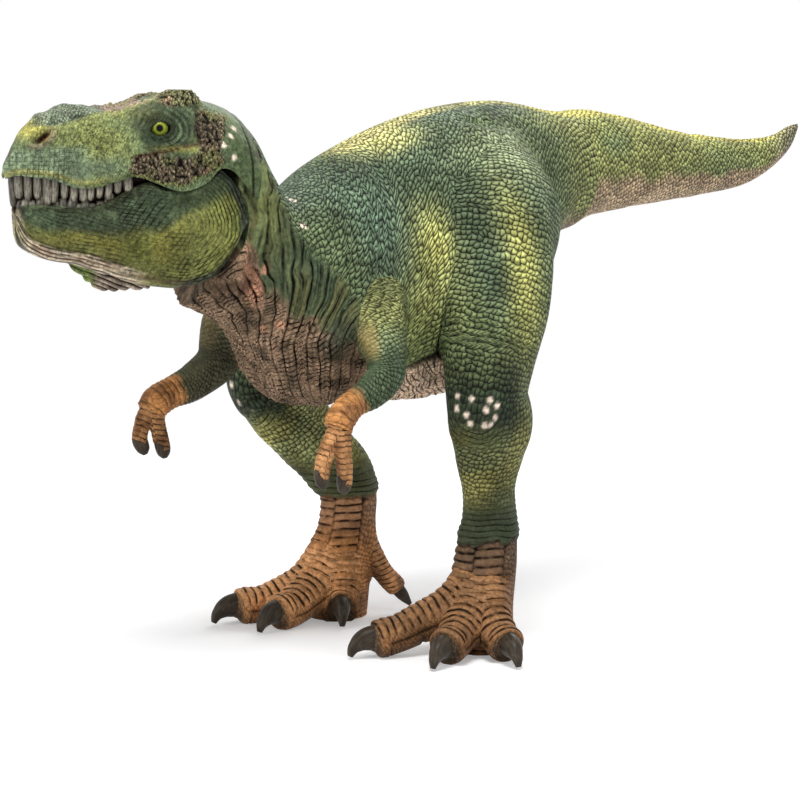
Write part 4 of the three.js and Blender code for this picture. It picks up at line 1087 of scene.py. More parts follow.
    # rungs across the folds
    on_neck = 0.6 * ease(neck, 0.5, 0.8) * ease(cloud(points, 4, 18), -0.5, 0.2)
    along = np.where(rust > 0.5, aslant, 1.6 * across + 0.5)
    rungs = np.where(rust > 0.5, rungs * ease(rust, 0.5, 0.75), on_neck)
    on_belly = (0.6 * y + 0.8 * np.abs(x)) / 1.3 + 0.8 * cloud(points, 3, 19)
    along = np.where(belly > 0.5, on_belly, along)
    rungs = np.where(belly > 0.5, ease(belly, 0.5, 0.8), rungs)
    cover = skin(
        points,
        paint,
        pebbled=np.clip(1 - folded - belly, 0, 1) * (1 - 0.4 * crease),
        cracked=np.clip(0.65 * rust + 0.35 * neck + belly, 0, 1),
        # groove: painted shade in the thigh's crease and along the belly's upper edge
        groove=np.clip(0.3 * crease + 0.8 * under, 0, 1),
        across=across,
        across_strength=np.clip(deep * 1.6, 0, 1),
        along=along,
        along_strength=np.clip(rungs, 0, 1),
    )
    piece("torso_hide", [cover], flank_hide, stands_for=("torso",))


def make_tail():
    """Tail grid with a keel of low scales on top, |sin| along its length, and beads over it."""
    points = tail_tube(20).grid(200)
    n = normals(points)
    v = way_along(points)
    y = points[..., 1]
    up = np.cos(ring_angle(points))
    keel = ease(up, 0.93, 0.99) * (0.5 + 0.5 * np.abs(np.sin(v * np.pi / 3.2)))
    move = keel * 0.3 + 0.25 * cloud(points, 5, 32)
    move = move * ease(y, TAIL_Y, TAIL_Y + 6) * ease(TAIL_Y + TAIL - y, 1, 12)
    points = points + n * move[..., None]
    tip = ease(y, TAIL_Y + 0.8 * TAIL, TAIL_Y + 0.98 * TAIL)
    low = ease(-up + 0.2 * cloud(points, 8, 34), 0.1, 0.45)
    paint = layered(
        mottled(points, TAIL_GREEN, (0.2, 0.25, 0.11), 16, 33),
        (TAIL_TOP, ease(up, 0.4, 0.8) * 0.6),
        (KEEL_YELLOW, ease(up, 0.84, 0.97) * 0.9),
        ((0.46, 0.33, 0.21), low * 0.92),
        ((0.6, 0.33, 0.22), ease(-up, 0.93, 0.99) * 0.5),
        ((0.3, 0.27, 0.2), tip * 0.8),
    )
    piece("tail_hide", [skin(points, paint, pebbled=1.0)], tail_hide, stands_for=("tail",))


# ---- legs and arms ----
# Height of the cuff, and middle of the knee
CUFFS = {"left": (27.0, (34.0, -26.0, 61.5)), "right": (31.6, (-31.5, -43.0, 58.0))}
KNEE_DOTS = {
    "left": [
        (30.6, -29.1, 65.1), (33.7, -27.6, 64.5), (36.4, -24.3, 64.2), (37.1, -22.5, 62.6),
        (30.2, -28.8, 61.7), (35.7, -24.9, 61.7), (32.4, -27.9, 60.6), (36.4, -22.5, 59.7),
        (32.7, -26.9, 58.4), (35.0, -24.5, 57.9), (35.7, -23.2, 58.1),
    ],
    "right": [(-33.5, -46.0, 62.0), (-31.5, -43.5, 59.5), (-32.5, -43.5, 57.6), (-30.1, -41.3, 55.9)],
}
# Paint that differs between the legs: how light the shank and the foot are painted, and the colours
# of the cuff and of the upper foot; all are lighter on the right leg, as painted light
LEG_PAINT_AND_LIGHT = {
    "left": {"shank": 1.0, "cuff": (0.04, 0.053, 0.029), "upper": (0.1, 0.066, 0.042), "foot": 0.8},
    "right": {"shank": 2.0, "cuff": (0.062, 0.07, 0.034), "upper": (0.36, 0.2, 0.11), "foot": 2.1},
}
FINGER_SIZES = np.array([0.98, 0.92, 0.86, 0.5])


def outer_seam(side, count):
    """Column of a limb's grid on which its unrolled skin is cut."""
    return 3 * count // 4 if side == "left" else count // 4


def make_leg(side):
    """Leg, three toes and the hind toe as grids eased into each other. Plates lie in three columns
    down the front of the foot and across the toes, each t^0.6 (1 - t^6) high along its length.
    Creases ring the knee below its dots and lie level round the cuff."""
    sign, count = SIGN[side], 184
    cuff, knee = CUFFS[side]
    field_toes = [toe_tube(side, k, 6) for k in range(3)] + [hind_toe_tube(side, 8)]
    # thigh, shin and foot
    points = leg_tube(side, 24).grid(count)
    points = settle(points, field_legs[side], [field_trunk], 5.0)
    points = settle(points, field_legs[side], field_toes, 3.0, sink=0.2)
    n = normals(points)
    z = points[..., 2]
    angle = ring_angle(points)
    front, out = -np.cos(angle), np.sin(angle) * sign
    edge = cuff + 1.2 * cloud(points, 3.0, 41) + 0.7 * cloud(points, 1.3, 48)
    low = ease(edge - z, -0.3, 0.3)
    lap = hump(z, cuff + 1.8, 2.2) * (1 - low)
    column = (angle / np.pi - 1) * 3.1
    plated = ease(1.62 - np.abs(column), 0, 0.12) * low
    split = groove(column + 0.5, 0.06) * ease(2.0 - np.abs(column), 0, 0.3) * low
    step = -z / 2.05 + 0.5 * np.mod(np.abs(np.round(column)), 2) + 0.12 * cloud(points, 3, 43)
    away = np.linalg.norm(points - np.array(knee), axis=-1)
    ringed = ease(z, knee[2] - 17, knee[2] - 9)
    across = (away * ringed + (knee[2] - z) * (1 - ringed)) / 1.45 + 0.45 * cloud(points, 5, 44)
    below = ease(away, 4.5, 6.0) * ease(13.5 - away, 0, 5) * ease(knee[2] + 1 - z, 0, 3)
    below = below * ease(front, 0, 0.5)
    round_cuff = hump(z, cuff + 3, 4.5) + 0.45 * hump(z, cuff + 11, 5)
    creased = np.clip(0.75 * below + 0.75 * round_cuff * (1 - low), 0, 0.85)
    soft = 0.5 + 0.5 * np.cos(2 * np.pi * across)
    calf = 0.6 * near(points, (sign * 30, -6, 54), (16, 7, 10))
    muscle = 0.9 * near(points, (sign * 34, -6, 84), (16, 5, 26))
    muscle = muscle - 0.8 * near(points, (sign * 32, 1, 88), (16, 3, 26))
    move = plated * (0.85 * plates(step) - 0.35) - 0.3 * split - 0.15 * low + 0.55 * lap
    move = move - 0.3 * soft * creased + calf + muscle * ease(z, 55, 75) + 0.15 * cloud(points, 4, 46)
    points = points + n * (move * (1 - ease(z, 112, 122)))[..., None]
    points[..., 2] = np.maximum(points[..., 2], 0)
    # the right leg's paint is lighter, as painted light
    paint_and_light = LEG_PAINT_AND_LIGHT[side]
    shank = mottled(points, (0.15, 0.165, 0.068), (0.22, 0.21, 0.07), 7, 49, -0.2) * paint_and_light["shank"]
    back_of_shank = ease(-front + 0.5 * out, 0.3, 1.1) * ease(z, 36, 46)
    shank = mixed(shank, (0.3, 0.3, 0.09), back_of_shank * 0.6)
    dark = hump(z, knee[2] + 1, 8.5) * ease(front + 0.3 + 0.25 * out, 0, 0.7)
    foot = mottled(points, (0.29, 0.135, 0.052), (0.17, 0.08, 0.036), 4, 47, high=0.6) * paint_and_light["foot"]
    foot = mixed(foot, paint_and_light["upper"], ease(z, cuff - 13, cuff - 3) * 0.85)
    paint = layered(
        coat(points),
        ((0.1, 0.125, 0.055), ease(86 - z, 0, 14) * 0.6),
        (shank, ease(66 - z, 0, 14)),
        ((0.026, 0.038, 0.022), np.clip(1.1 * dark, 0, 0.95)),
        ((0.07, 0.095, 0.05), ease(front, 0.3, 0.9) * ease(z, 66, 78) * 0.5),
        (paint_and_light["cuff"], ease(cuff + 14 - z, 0, 8) * 0.95),
        (foot, low),
    )
    bare = sum(near(points, dot, (1.3, 1.3, 1.5)) for dot in KNEE_DOTS[side])
    paint = spots(points, paint, KNEE_DOTS[side], 0.88, CREAM, 4)
    pebbled = (1 - low) * ease(z, cuff + 5, cuff + 13) * (1 - 0.7 * creased)
    pebbled = np.clip(pebbled * (1 - np.clip(bare, 0, 1)), 0, 1)
    cover = skin(
        points,
        paint,
        seam=outer_seam(side, count),
        pebbled=pebbled + 0.6 * low * (1 - plated),
        cracked=low * plated * 0.3,
        # groove: painted shade in the splits between the plates and just below the cuff's edge
        groove=np.clip(0.55 * split + 0.7 * hump(z - edge, -0.4, 0.5), 0, 1),
        across=across,
        across_strength=creased,
        along=step,
        along_strength=plated,
    )
    piece(f"{side}_leg_hide", [cover], thigh_hide, stands_for=(f"{side}_leg",))
    skins = [toe_skin(side, which, field_toes) for which in range(3)]
    points = settle(hind_toe_tube(side, 18).grid(48), field_toes[3], [field_legs[side]], 2.0, sink=0.2)
    v = way_along(points)
    bumps = 0.3 * (plates(v / 1.35) - 0.4) * ease(v[-1, 0] - v, 0, 1)
    points = points + normals(points) * bumps[..., None]
    paint = mottled(points, (0.3, 0.15, 0.068), (0.17, 0.09, 0.045), 3, 56, -0.2) * paint_and_light["foot"]
    skins.append(skin(points, paint, cracked=0.2, along=v / 1.35, along_strength=0.8))
    piece(f"{side}_toe_hide", skins, foot_hide)
    claws = []
    for tube in [claw_tube(side, k, 9) for k in range(3)] + [hind_claw_tube(side, 9)]:
        points = tube.grid(28)
        points[..., 2] = np.maximum(points[..., 2], 0)
        claws.append(skin(points, plain(points, (1.0, 1.0, 1.0))))
    piece(f"{side}_foot_claws", claws, horn)


def toe_skin(side, which, field_toes):
    """One toe, with plates across its top, pads below and a line between them."""
    points = toe_tube(side, which, 24).grid(96)
    rest = [field_legs[side]] + [t for k, t in enumerate(field_toes) if k != which]
    points = settle(points, field_toes[which], rest, 3.0, sink=0.2)
    n = normals(points)
    v = way_along(points, same=True)
    length = v[-1, 0]
    up = np.cos(ring_angle(points))
    step = v / 2.0 + 0.1 * cloud(points, 2, 51 + which)
    top = ease(up, 0.1, 0.4) * ease(length - v, 2.2, 3.4)
    pads = groove(v / (length / 3.6), 0.07) * ease(-up, 0.1, 0.6)
    side_line = hump(up, -0.12, 0.1) * ease(length - v, 3, 6) * ease(v, 8, 12)
    knuckle = hump(v, length * 0.88, 2.4)
    move = top * (0.6 * plates(step) - 0.25) - 0.5 * pads - 0.3 * side_line + 0.45 * knuckle
    move = move * ease(v, 0, 3) * ease(length - v, 0.5, 2.5)
    points = points + n * move[..., None]
    points[..., 2] = np.maximum(points[..., 2], 0)
    # the right foot's toes are painted lighter, as painted light
    foot_paint_and_light = LEG_PAINT_AND_LIGHT[side]["foot"]
    # painted highlight on the raised end of each plate
    plate_highlight = top * plates(step) ** 3
    paint = layered(
        mixed(plain(points, (0.3, 0.145, 0.06)), (0.5, 0.3, 0.165), plate_highlight * 0.6) * foot_paint_and_light,
        (np.array([0.17, 0.085, 0.038]) * foot_paint_and_light, (1 - top) * ease(cloud(points, 3, 55), -0.4, 0.5) * 0.7),
        (np.array([0.14, 0.072, 0.036]) * foot_paint_and_light, ease(-up, 0.2, 0.7) * 0.7),
        ((0.07, 0.052, 0.036), ease(length - v, 3.2, 1.0) * 0.85),
    )
    return skin(
        points,
        paint,
        pebbled=0.55 * (1 - top) * ease(v, 6, 10),
        cracked=0.25 * top,
        # groove: painted shade between the pads and along the line on each side
        groove=np.clip(0.7 * pads + 0.75 * side_line, 0, 1),
        along=step,
        along_strength=top * ease(v, 0, 1.5),
    )


def make_arm(side):
    """Arm and two fingers as grids eased into each other. Creases lie round elbow and wrist at
    way / 1.25, and bands of small plates down the fingers at way / 1.35."""
    sign, count = SIGN[side], 120
    fingers = [finger_tube(side, k, 6, FINGER_SIZES) for k in range(2)]
    points = arm_tube(side, 18).grid(count)
    points = settle(points, field_arms[side], [field_trunk], 4.0, sink=0.15)
    points = settle(points, field_arms[side], fingers, 1.2, sink=0.15)
    n = normals(points)
    v = way_along(points, same=True)
    t = v / v[-1, 0]
    angle = ring_angle(points)
    front, out = -np.cos(angle), np.sin(angle) * sign
    hand = ease(t + 0.02 * cloud(points, 2.5, 67), 0.83, 0.88)
    across = v / 1.25 + 0.4 * cloud(points, 4, 61)
    creased = 0.5 * hump(t, 0.5, 0.1) + 0.55 * ease(t, 0.72, 0.82)
    soft = 0.5 + 0.5 * np.cos(2 * np.pi * across)
    muscle = 0.3 * cloud(points, 5, 63)
    muscle = muscle - 0.35 * near(np.stack([front, t], -1), (0.1, 0.3), (0.35, 0.16))
    move = (muscle - 0.25 * soft * creased) * ease(t, 0.12, 0.25)
    points = points + n * move[..., None]
    outer = hump(t, 0.26, 0.13) * ease(out + 0.5 * front, 0.0, 0.8)
    fore = ease(front, 0.65, 0.98) * ease(t, 0.22, 0.36) * ease(0.62 - t, 0, 0.15)
    shade = ease(t, 0.12, 0.3) * (0.75 if side == "right" else 0)
    paint = layered(
        mottled(points, (0.16, 0.19, 0.085), (0.12, 0.165, 0.1), 8, 64, most=0.7),
        ((0.34, 0.35, 0.12), outer * 0.55),
        ((0.3, 0.23, 0.085), fore * 0.8),
        ((0.075, 0.115, 0.065), ease(t, 0.42, 0.58) * 0.8),
        ((0.085, 0.07, 0.04), shade),
        (mottled(points, (0.52, 0.235, 0.08), (0.32, 0.145, 0.058), 2.5, 68), hand),
    )
    smooth_front = ease(front, 0.75, 0.98) * ease(t, 0.22, 0.36)
    cover = skin(
        points,
        paint,
        seam=outer_seam(side, count),
        pebbled=(1 - hand) * (1 - 0.5 * creased) * (1 - 0.6 * smooth_front),
        cracked=0.5 * hand,
        across=across,
        across_strength=np.clip(creased, 0, 0.7),
    )
    skins, claws = [cover], []
    for k in range(2):
        points = finger_tube(side, k, 14, FINGER_SIZES).grid(48)
        points = settle(points, fingers[k], [field_arms[side], fingers[1 - k]], 1.0, sink=0.15)
        cut = int(len(points) * 0.8)
        points, v = points[:cut], way_along(points)[:cut]
        bumps = 0.22 * (plates(v / 1.35) - 0.4) + 0.12 * cloud(points, 1.4, 69)
        points = points + normals(points) * bumps[..., None]
        paint = mottled(points, (0.5, 0.25, 0.105), (0.28, 0.13, 0.055), 2, 66)
        # the right hand's fingers are painted darker, as painted shade, like the right arm
        paint = paint * (1.0 if side == "left" else 0.75)
        skins.append(skin(points, paint, cracked=0.3, along=v / 1.35, along_strength=0.7))
        bend, root, tip = (np.array(FINGER_ROWS[side][k][j]) for j in (1, 2, 3))
        rows = [
            (*(bend * 0.4 + root * 0.6), 0.7),
            (*root, 0.98),
            (*(root * 0.35 + tip * 0.65), 0.82),
            (*tip, 0.3),
        ]
        rows = smooth(rows, 8)
        size = rows[:, 3:4] * FINGER
        claw = np.hstack([shoulder(side) + rows[:, :3] * ARM, size, size * 0.8])
        claw = swept(claw, (0, 1, 0)).grid(24)
        claws.append(skin(claw, plain(claw, (1.25, 1.25, 1.25))))
    piece(f"{side}_arm_hide", skins, arm_hide, stands_for=(f"{side}_arm",))
    piece(f"{side}_hand_claws", claws, horn)


# ---- head ----
def skull_point(share):
    """Head lengths to millimetres: y from the snout, x by the half width, z from the lips."""
    share = np.asarray(share, float)
    x, y, z = share[..., 0], share[..., 1], share[..., 2]
    return np.stack([x * SKULL_WIDE, SNOUT_Y + y * SKULL, LIPS_Z + z * SKULL_TALL], -1)


def skull_loops(rows, shape, right=None):
    """Loops of the head: shape gives the x and z columns of one half, and the other mirrors it."""
    left = shape(rows)
    other = shape(rows) if right is None else right(rows)
    mirror = other[:, -2:0:-1] * [-1, 1]
    half = np.concatenate([left, mirror], 1)
    y = np.broadcast_to(rows[:, None, 0:1], half.shape[:2] + (1,))
    return skull_point(np.concatenate([half[..., 0:1], y, half[..., 1:2]], -1))


def half_loops(*columns):
    """Half loops from the x and z of each of their points, row by row."""
    return np.stack([np.stack(column, -1) for column in columns], 1)


def skull_half(rows):
    _, top, rx, rz, sx, sz, lx, lz, px, pz = rows.T
    inner = np.maximum(lx - 0.07, 0.5 * lx), lz + 0.03
    return half_loops((0 * top, top), (rx, rz), (sx, sz), (lx, lz), inner, (px, pz), (0 * top, pz))


def skull_right(rows):
    half = skull_half(rows)
    half[:, 1, 1] = np.minimum(half[:, 1, 1], np.maximum(rows[:, 1], half[:, 1, 1] - BROW_DROP))
    return half


def width_at(rows, column, s):
    """Half width of a column of a head table, at distances ahead of the seam."""
    ahead = (SEAM_Y - SNOUT_Y) - rows[::-1, 0] * SKULL
    return np.interp(s, ahead, rows[::-1, column] * SKULL_WIDE)


def height_at(rows, column, s):
    """Height of a column of a head table, at distances ahead of the seam."""
    ahead = (SEAM_Y - SNOUT_Y) - rows[::-1, 0] * SKULL
    return np.interp(s, ahead, LIPS_Z + rows[::-1, column] * SKULL_TALL)


PIN_AHEAD = SEAM_Y - PIN_Y
EYE = (14.0, 18.0, 128.95)  # across, ahead of the seam, up
EYE_SIZE, EYE_ACROSS, EYE_BACK = 2.35, 11.9, 0.4  # eyeball's radius, and where its middle lies
# Outlines on the side of the head: ahead of the seam, up
CRUST = [
    (9.8, 133.2), (6.1, 132.6), (1.3, 132.0), (2.9, 128.5), (5.0, 124.8), (4.1, 121.5),
    (8.6, 118.7), (14.6, 116.0), (19.5, 117.2), (22.7, 118.0), (25.1, 119.9), (24.0, 122.8),
    (20.4, 123.7), (12.9, 122.0), (9.9, 124.5), (10.5, 129.8),
]
SNOUT_RIDGE = [
    (17.9, 134.8), (21.9, 133.6), (24.2, 132.4), (27.7, 132.0), (32.2, 131.0), (36.9, 129.6),
    (41.3, 128.4),
]
NOSTRIL = (43.1, 127.0)
CREST_DOTS = [(13.3, 0.5, 128.8), (15.1, 1.9, 127.1), (16.6, 4.2, 125.4), (16.6, 1.6, 122.6)]


def inside(places, outline):
    """How far places of a plane lie inside a closed outline: the distance to its nearest side,
    less than 0 outside, where a line to the right crosses its sides an even number of times."""
    x, y = places[..., 0], places[..., 1]
    nearest, odd = np.full(x.shape, 1e9), np.zeros(x.shape, bool)
    for (ax, ay), (bx, by) in zip(outline, outline[1:] + outline[:1]):
        ex, ey = bx - ax, by - ay
        t = np.clip(((x - ax) * ex + (y - ay) * ey) / (ex * ex + ey * ey), 0, 1)
        nearest = np.minimum(nearest, np.hypot(x - ax - t * ex, y - ay - t * ey))
        if ay != by:
            odd ^= ((ay > y) != (by > y)) & (x < ax + (y - ay) / ey * ex)
    return np.where(odd, nearest, -nearest)


def head_places(points):
    """Across, ahead of the seam behind the head, and up, from points of the unturned head."""
    return np.abs(points[..., 0]), SEAM_Y - points[..., 1], points[..., 2]


def make_head():
    """Head grid with brows, socket, nostril and lids, wrinkles in rings round the eye whose phase
    is the distance from it / 1.15, a beaded ridge along the snout, and a crust of small stones on
    brow, temple and cheek, inside an outline drawn in side view."""
    rows = smooth(SKULL_ROWS, 14)
    points = smooth_loops(skull_loops(rows, skull_half, skull_right), 24)
    a, s, z = head_places(points)
    # hollow under the cheeks, in which the jaw's rear turns
    lip = width_at(rows, 6, s)
    r = np.hypot(s - PIN_AHEAD, z - PIN_Z)
    inside_room = (r < PIN_ROOM + 0.1) & (a < lip - 0.75)
    push = np.where(inside_room, PIN_ROOM + 0.1 - r, 0) / np.maximum(r, 0.1)
    points[..., 1] -= push * (s - PIN_AHEAD)
    points[..., 2] += push * (z - PIN_Z)
    a, s, z = head_places(points)
    n = normals(points)
    place = np.stack([a, s, z], -1)
    flat = place[..., 1:]
    lip_z = height_at(rows, 7, s)
    outside = np.clip(ease(a - lip, -2.2, -1.0) + ease(z - LIPS_Z, 5, 7), 0, 1)
    by_eye = ease(a, 8, 11)
    wander = 0.8 * cloud(place, 2.2, 70) + 0.4 * cloud(place, 0.9, 79)
    # crust of stones
    lump = 0.6 * cloud(place, 1.6, 69)
    depth = inside(flat, CRUST) + lump
    horn_top = ease(z + lump, 133.4, 134.6) * ease(s, 6.5, 8.5) * ease(18.5 - s, 0, 3)
    horn_top = horn_top * ease(a, 5, 7)
    crust = np.clip(np.maximum(ease(depth, -0.4, 0.6) * by_eye, horn_top), 0, 1) * outside
    warts = ease(z, 131.4, 132.6) * ease(s, 14.5, 17) * ease(30 - s, 0, 3) * ease(9.5 - a, 0, 2)
    stones = pebbles(points, 0.8, 71)
    # eye
    lens = np.hypot((s - EYE[1]) / 2.1, (z - EYE[2] + 0.12 * (s - EYE[1])) / 1.3)
    eye_r = np.hypot((s - EYE[1]) * 0.85, z - EYE[2])
    opening = ease(1.08 - lens, 0, 0.22) * by_eye
    lid = hump(lens, 1.3, 0.2) * by_eye
    upper_lid = lid * ease(z - EYE[2], -0.3, 0.8)
    fade = ease(eye_r, 2.4, 3.2) * ease(10 - eye_r, 0, 4) * by_eye * ease(135.5 - z, 0, 2)
    front_fade = ease(23.5 + 0.25 * (z - 124) - s, 0, 3)
    eye_phase = eye_r / 1.15 + 0.4 * cloud(place, 3.2, 72)
    soft_ring = 0.5 + 0.5 * np.cos(2 * np.pi * eye_phase)
    rings = fade * (1 - crust) * front_fade * (0.45 + 0.55 * ease(EYE[2] + 1 - z, 0, 3))
    rings = np.clip(rings * (0.6 + 0.5 * cloud(place, 4, 68)), 0, 1)
    hood = near(place, (12.5, 18.5, 132.4), (3.5, 6.0, 1.5)) * by_eye
    hollow = near(flat, (20.5, 130.6), (5.0, 1.3)) * by_eye
    pouch = near(flat, (17.5, 124.7), (7, 1.0)) * by_eye
    # snout
    slant = (s - NOSTRIL[0]) * 0.625 + (z - NOSTRIL[1]) * 0.78
    reach = -(s - NOSTRIL[0]) * 0.78 + (z - NOSTRIL[1]) * 0.625
    on_side = ease(a, 2.5, 4)
    nostril = np.exp(-((slant / 0.62) ** 2) - np.abs(reach / 1.9) ** 3) * on_side
    nostril_rim = hump(np.hypot(slant / 1.55, reach / 2.7), 1, 0.3) * on_side
    glow = near(np.stack([slant, reach], -1), (-0.25, 0.2), (0.4, 1.0)) * on_side
    along_ridge = np.interp(s, *np.transpose(SNOUT_RIDGE)) - z
    beads = 0.6 + 0.4 * np.cos(2 * np.pi * (s / 1.7 + 0.35 * cloud(place, 4, 66)))
    ridge = hump(along_ridge, 0, 0.75) * ease(s, 16, 19) * ease(43 - s, 0, 4) * ease(a, 4.5, 6)
    ridge = ridge * (0.55 + 0.45 * ease(s, 34, 24))
    under_ridge = hump(along_ridge, 2.0, 0.9) * ease(s, 22, 27) * ease(41 - s, 0, 5) * on_side
    on_top = ease(-along_ridge, 0.4, 1.3) * ease(s, 24, 28) * ease(46 - s, 0, 4)
    muzzle = ease(125.6 - 0.1 * (s - 40) + 0.5 * wander - z, 0, 1.4) * ease(s, 32, 37)
    muzzle_lines = muzzle * ease(s, 36, 39) * outside
    # lips, bag under the eye, cleft and seam behind the crest
    lip_roll = hump(z - lip_z, 0.75, 0.65) * outside * ease(s, 10, 16)
    bag = hump(z - 122.7, 0.21 * (24 - s), 0.35) * ease(s, 8, 10) * ease(25.5 - s, 0, 2) * by_eye
    cleft = hump(s - 9.9, -0.04 * (z - 128), 0.55) * ease(z, 125, 127) * by_eye
    cleft = cleft * ease(135 - z, 0, 2)
    back = ease(4.5 - s, 0, 3)
    seam = hump(s, -3.2, 0.45)
    # shape
    move = crust * (0.7 * stones - 0.15) + warts * (0.55 * pebbles(points, 1.3, 67) - 0.1)
    move = move + 0.4 * soft_ring * rings - 1.7 * opening + 0.5 * lid + 0.35 * upper_lid + 0.8 * hood
    move = move - 0.9 * hollow + 0.45 * pouch - 1.3 * nostril + 0.55 * nostril_rim
    move = move + 0.6 * ridge * beads - 0.4 * under_ridge - 0.55 * bag - 0.6 * cleft
    move = move + 0.3 * lip_roll + 0.14 * cloud(place, 2.2, 74) * outside * (1 - crust)
    move = move + 0.5 * on_top * cloud(place, 2.0, 62)
    move = np.where(s < -1.5, np.minimum(move, 0), move) - 0.4 * seam
    points = points + n * (move * np.where(outside > 0.05, 1, 0))[..., None]
    points[..., 2] = np.minimum(points[..., 2], cad_box[1][2] * 1000 - 2 * INSET)
    # paint
    patch = np.clip(1.25 * near(flat, (32.5, 126.2), (8.5, 5.4)), 0, 1)
    patch = patch * (0.8 + 0.2 * cloud(place, 4, 65))
    snout_tip = np.clip(1.2 * near(flat, (45.0, 129.3), (3.4, 2.6)), 0, 1)
    around = ease(8.8 + 0.8 * wander - eye_r, 0, 4) * by_eye * ease(136 - z, 0, 2) * front_fade
    pouch_top = np.clip(1.3 * near(flat, (14.0, 124.6), (4.5, 0.55)), 0, 1) * by_eye
    lash = hump(lens, 1.1, 0.16) * by_eye
    wart_tops = warts * ease(pebbles(points, 1.3, 67), 0.2, 0.7)
    # crust: near-black between the stones as painted shade, brown and olive on the stones
    shell = layered(
        plain(points, (0.02, 0.014, 0.009)),
        ((0.26, 0.205, 0.13), stones**1.7 * 0.95),
        ((0.27, 0.29, 0.12), ease(z, 129, 133) * ease(stones, 0.2, 0.7) * 0.55),
        ((0.42, 0.23, 0.17), 0.6 * ease(cloud(place, 2.6, 76), 0.2, 0.5) * ease(stones, 0.3, 0.8)),
        ((0.2, 0.22, 0.07), 0.6 * ease(cloud(place, 3.4, 77), 0.0, 0.4) * ease(stones, 0.2, 0.7)),
        ((0.3, 0.32, 0.1), ease(0.9 - depth, 0, 0.7) * ease(120 - z, 0, 2) * 0.7),
    )
    paint = layered(
        mottled(place, (0.125, 0.17, 0.085), (0.18, 0.215, 0.085), 6, 75, -0.2, most=0.7),
        ((0.225, 0.245, 0.075), patch * 0.9),
        ((0.6, 0.55, 0.14), snout_tip * 0.9),
        ((0.21, 0.28, 0.165), muzzle * 0.9),
        ((0.14, 0.19, 0.115), near(flat, (31, 120.6), (8, 2.2)) * 0.8 * ease(s, 22, 28)),
        ((0.19, 0.23, 0.16), on_top * 0.85),
        ((0.06, 0.08, 0.05), on_top * ease(-cloud(place, 2.0, 62), 0.1, 0.5) * 0.8),
        ((0.36, 0.38, 0.13), np.clip(ridge * 1.2, 0, 1) * (0.5 + 0.5 * beads) * 0.8),
        ((0.03, 0.044, 0.024), around * 0.95),
        # painted highlight on the crests of the wrinkles round the eye
        ((0.28, 0.35, 0.2), rings * soft_ring**3 * ease(cloud(place, 2.5, 63), -0.7, 0.1)),
        ((0.16, 0.175, 0.07), near(flat, (21.5, 132.2), (3.5, 1.8)) * by_eye * 0.6),
        ((0.36, 0.37, 0.1), pouch_top * 0.85),
        (shell, crust),
        ((0.45, 0.3, 0.24), wart_tops * 0.8),
        ((0.09, 0.125, 0.055), back * (1 - crust) * 0.85),
        ((0.36, 0.34, 0.1), lip_roll * ease(s, 26, 36) * 0.75),
        ((0.2, 0.19, 0.12), lip_roll * ease(26 - s, 0, 6) * (1 - crust) * 0.5),
        ((0.2, 0.11, 0.06), bag * 0.85),
        # painted shade in the cleft behind the eye
        ((0.05, 0.035, 0.025), cleft * 0.8),
        ((0.3, 0.19, 0.16), nostril_rim * ease(-slant, -0.6, 0.6) * 0.5),
        ((0.022, 0.014, 0.01), np.clip(nostril * 1.3, 0, 0.95)),
        ((0.55, 0.15, 0.04), glow * 0.9),
        ((0.03, 0.032, 0.02), np.clip(opening + lash, 0, 1) * 0.9),
        (MOUTH_DARK, (1 - outside) * 0.95),
    )
    dots = [(x, SEAM_Y - ahead, up) for x, ahead, up in CREST_DOTS]
    paint = spots(points, paint, dots, 0.85, CREAM, 6)
    pebbled = np.clip(0.35 + 0.4 * on_top + 0.4 * crust - opening - muzzle - rings, 0, 1)
    gaps = crust * ease(0.5 - stones, 0, 0.35)
    cover = skin(
        turned(points),
        paint,
        pebbled=pebbled * outside * (1 - back),
        cracked=np.clip(0.25 + 0.3 * muzzle, 0, 1) * outside * (1 - crust),
        # groove: painted shade in the nostril, the bag under the eye, between the crust's stones and in
        # the seam behind the head
        groove=np.clip(nostril + 0.6 * bag + 0.85 * gaps + 0.9 * seam, 0, 1) * outside,
        across=np.where(s > 30, s / 1.05 + 0.3 * cloud(place, 3, 73), eye_phase + 0.5),
        across_strength=np.where(s > 30, 0.45 * muzzle_lines, rings),
        along=z / 0.95 + 0.25 * cloud(place, 3, 64),
        along_strength=0.45 * muzzle_lines,
        speckled=patch * outside * 0.9,
        worn=on_top * 0.8 + 0.06 * outside,
    )
    piece("head_hide", [cover], head_hide, stands_for=("head",))


def jaw_half(rows):
    _, ex, ez, cx, cz, sx, sz, lx, lz, keel = rows.T
    wall = 2.4 / SKULL_WIDE
    floor = np.minimum(keel + 4.4 / SKULL_TALL, ez - 0.02)
    ix = np.maximum(ex - wall, 0.3 * ex)
    inner = (0 * ex, floor), (ix * 0.75, floor + 0.03), (ix, ez - 0.06)
    return half_loops(*inner, (ex, ez), (cx, cz), (sx, sz), (lx, lz), (0 * ex, keel))


def fold_half(rows):
    _, top, low = rows.T
    wide = 0.24 * np.interp(rows[:, 0], [0.27, 0.36, 0.68], [0.4, 1.0, 1.1])
    return half_loops((0 * top, top), (wide, top), (wide * 0.7, (top + low) / 2), (0 * top, low))


# Lower edge of the jaw's dark upper half: ahead of the seam, up
JAW_BOUND = [(3, 114), (6.5, 112.5), (13, 109.3), (20, 106.5), (28, 105.5), (36, 106.3), (44, 107)]


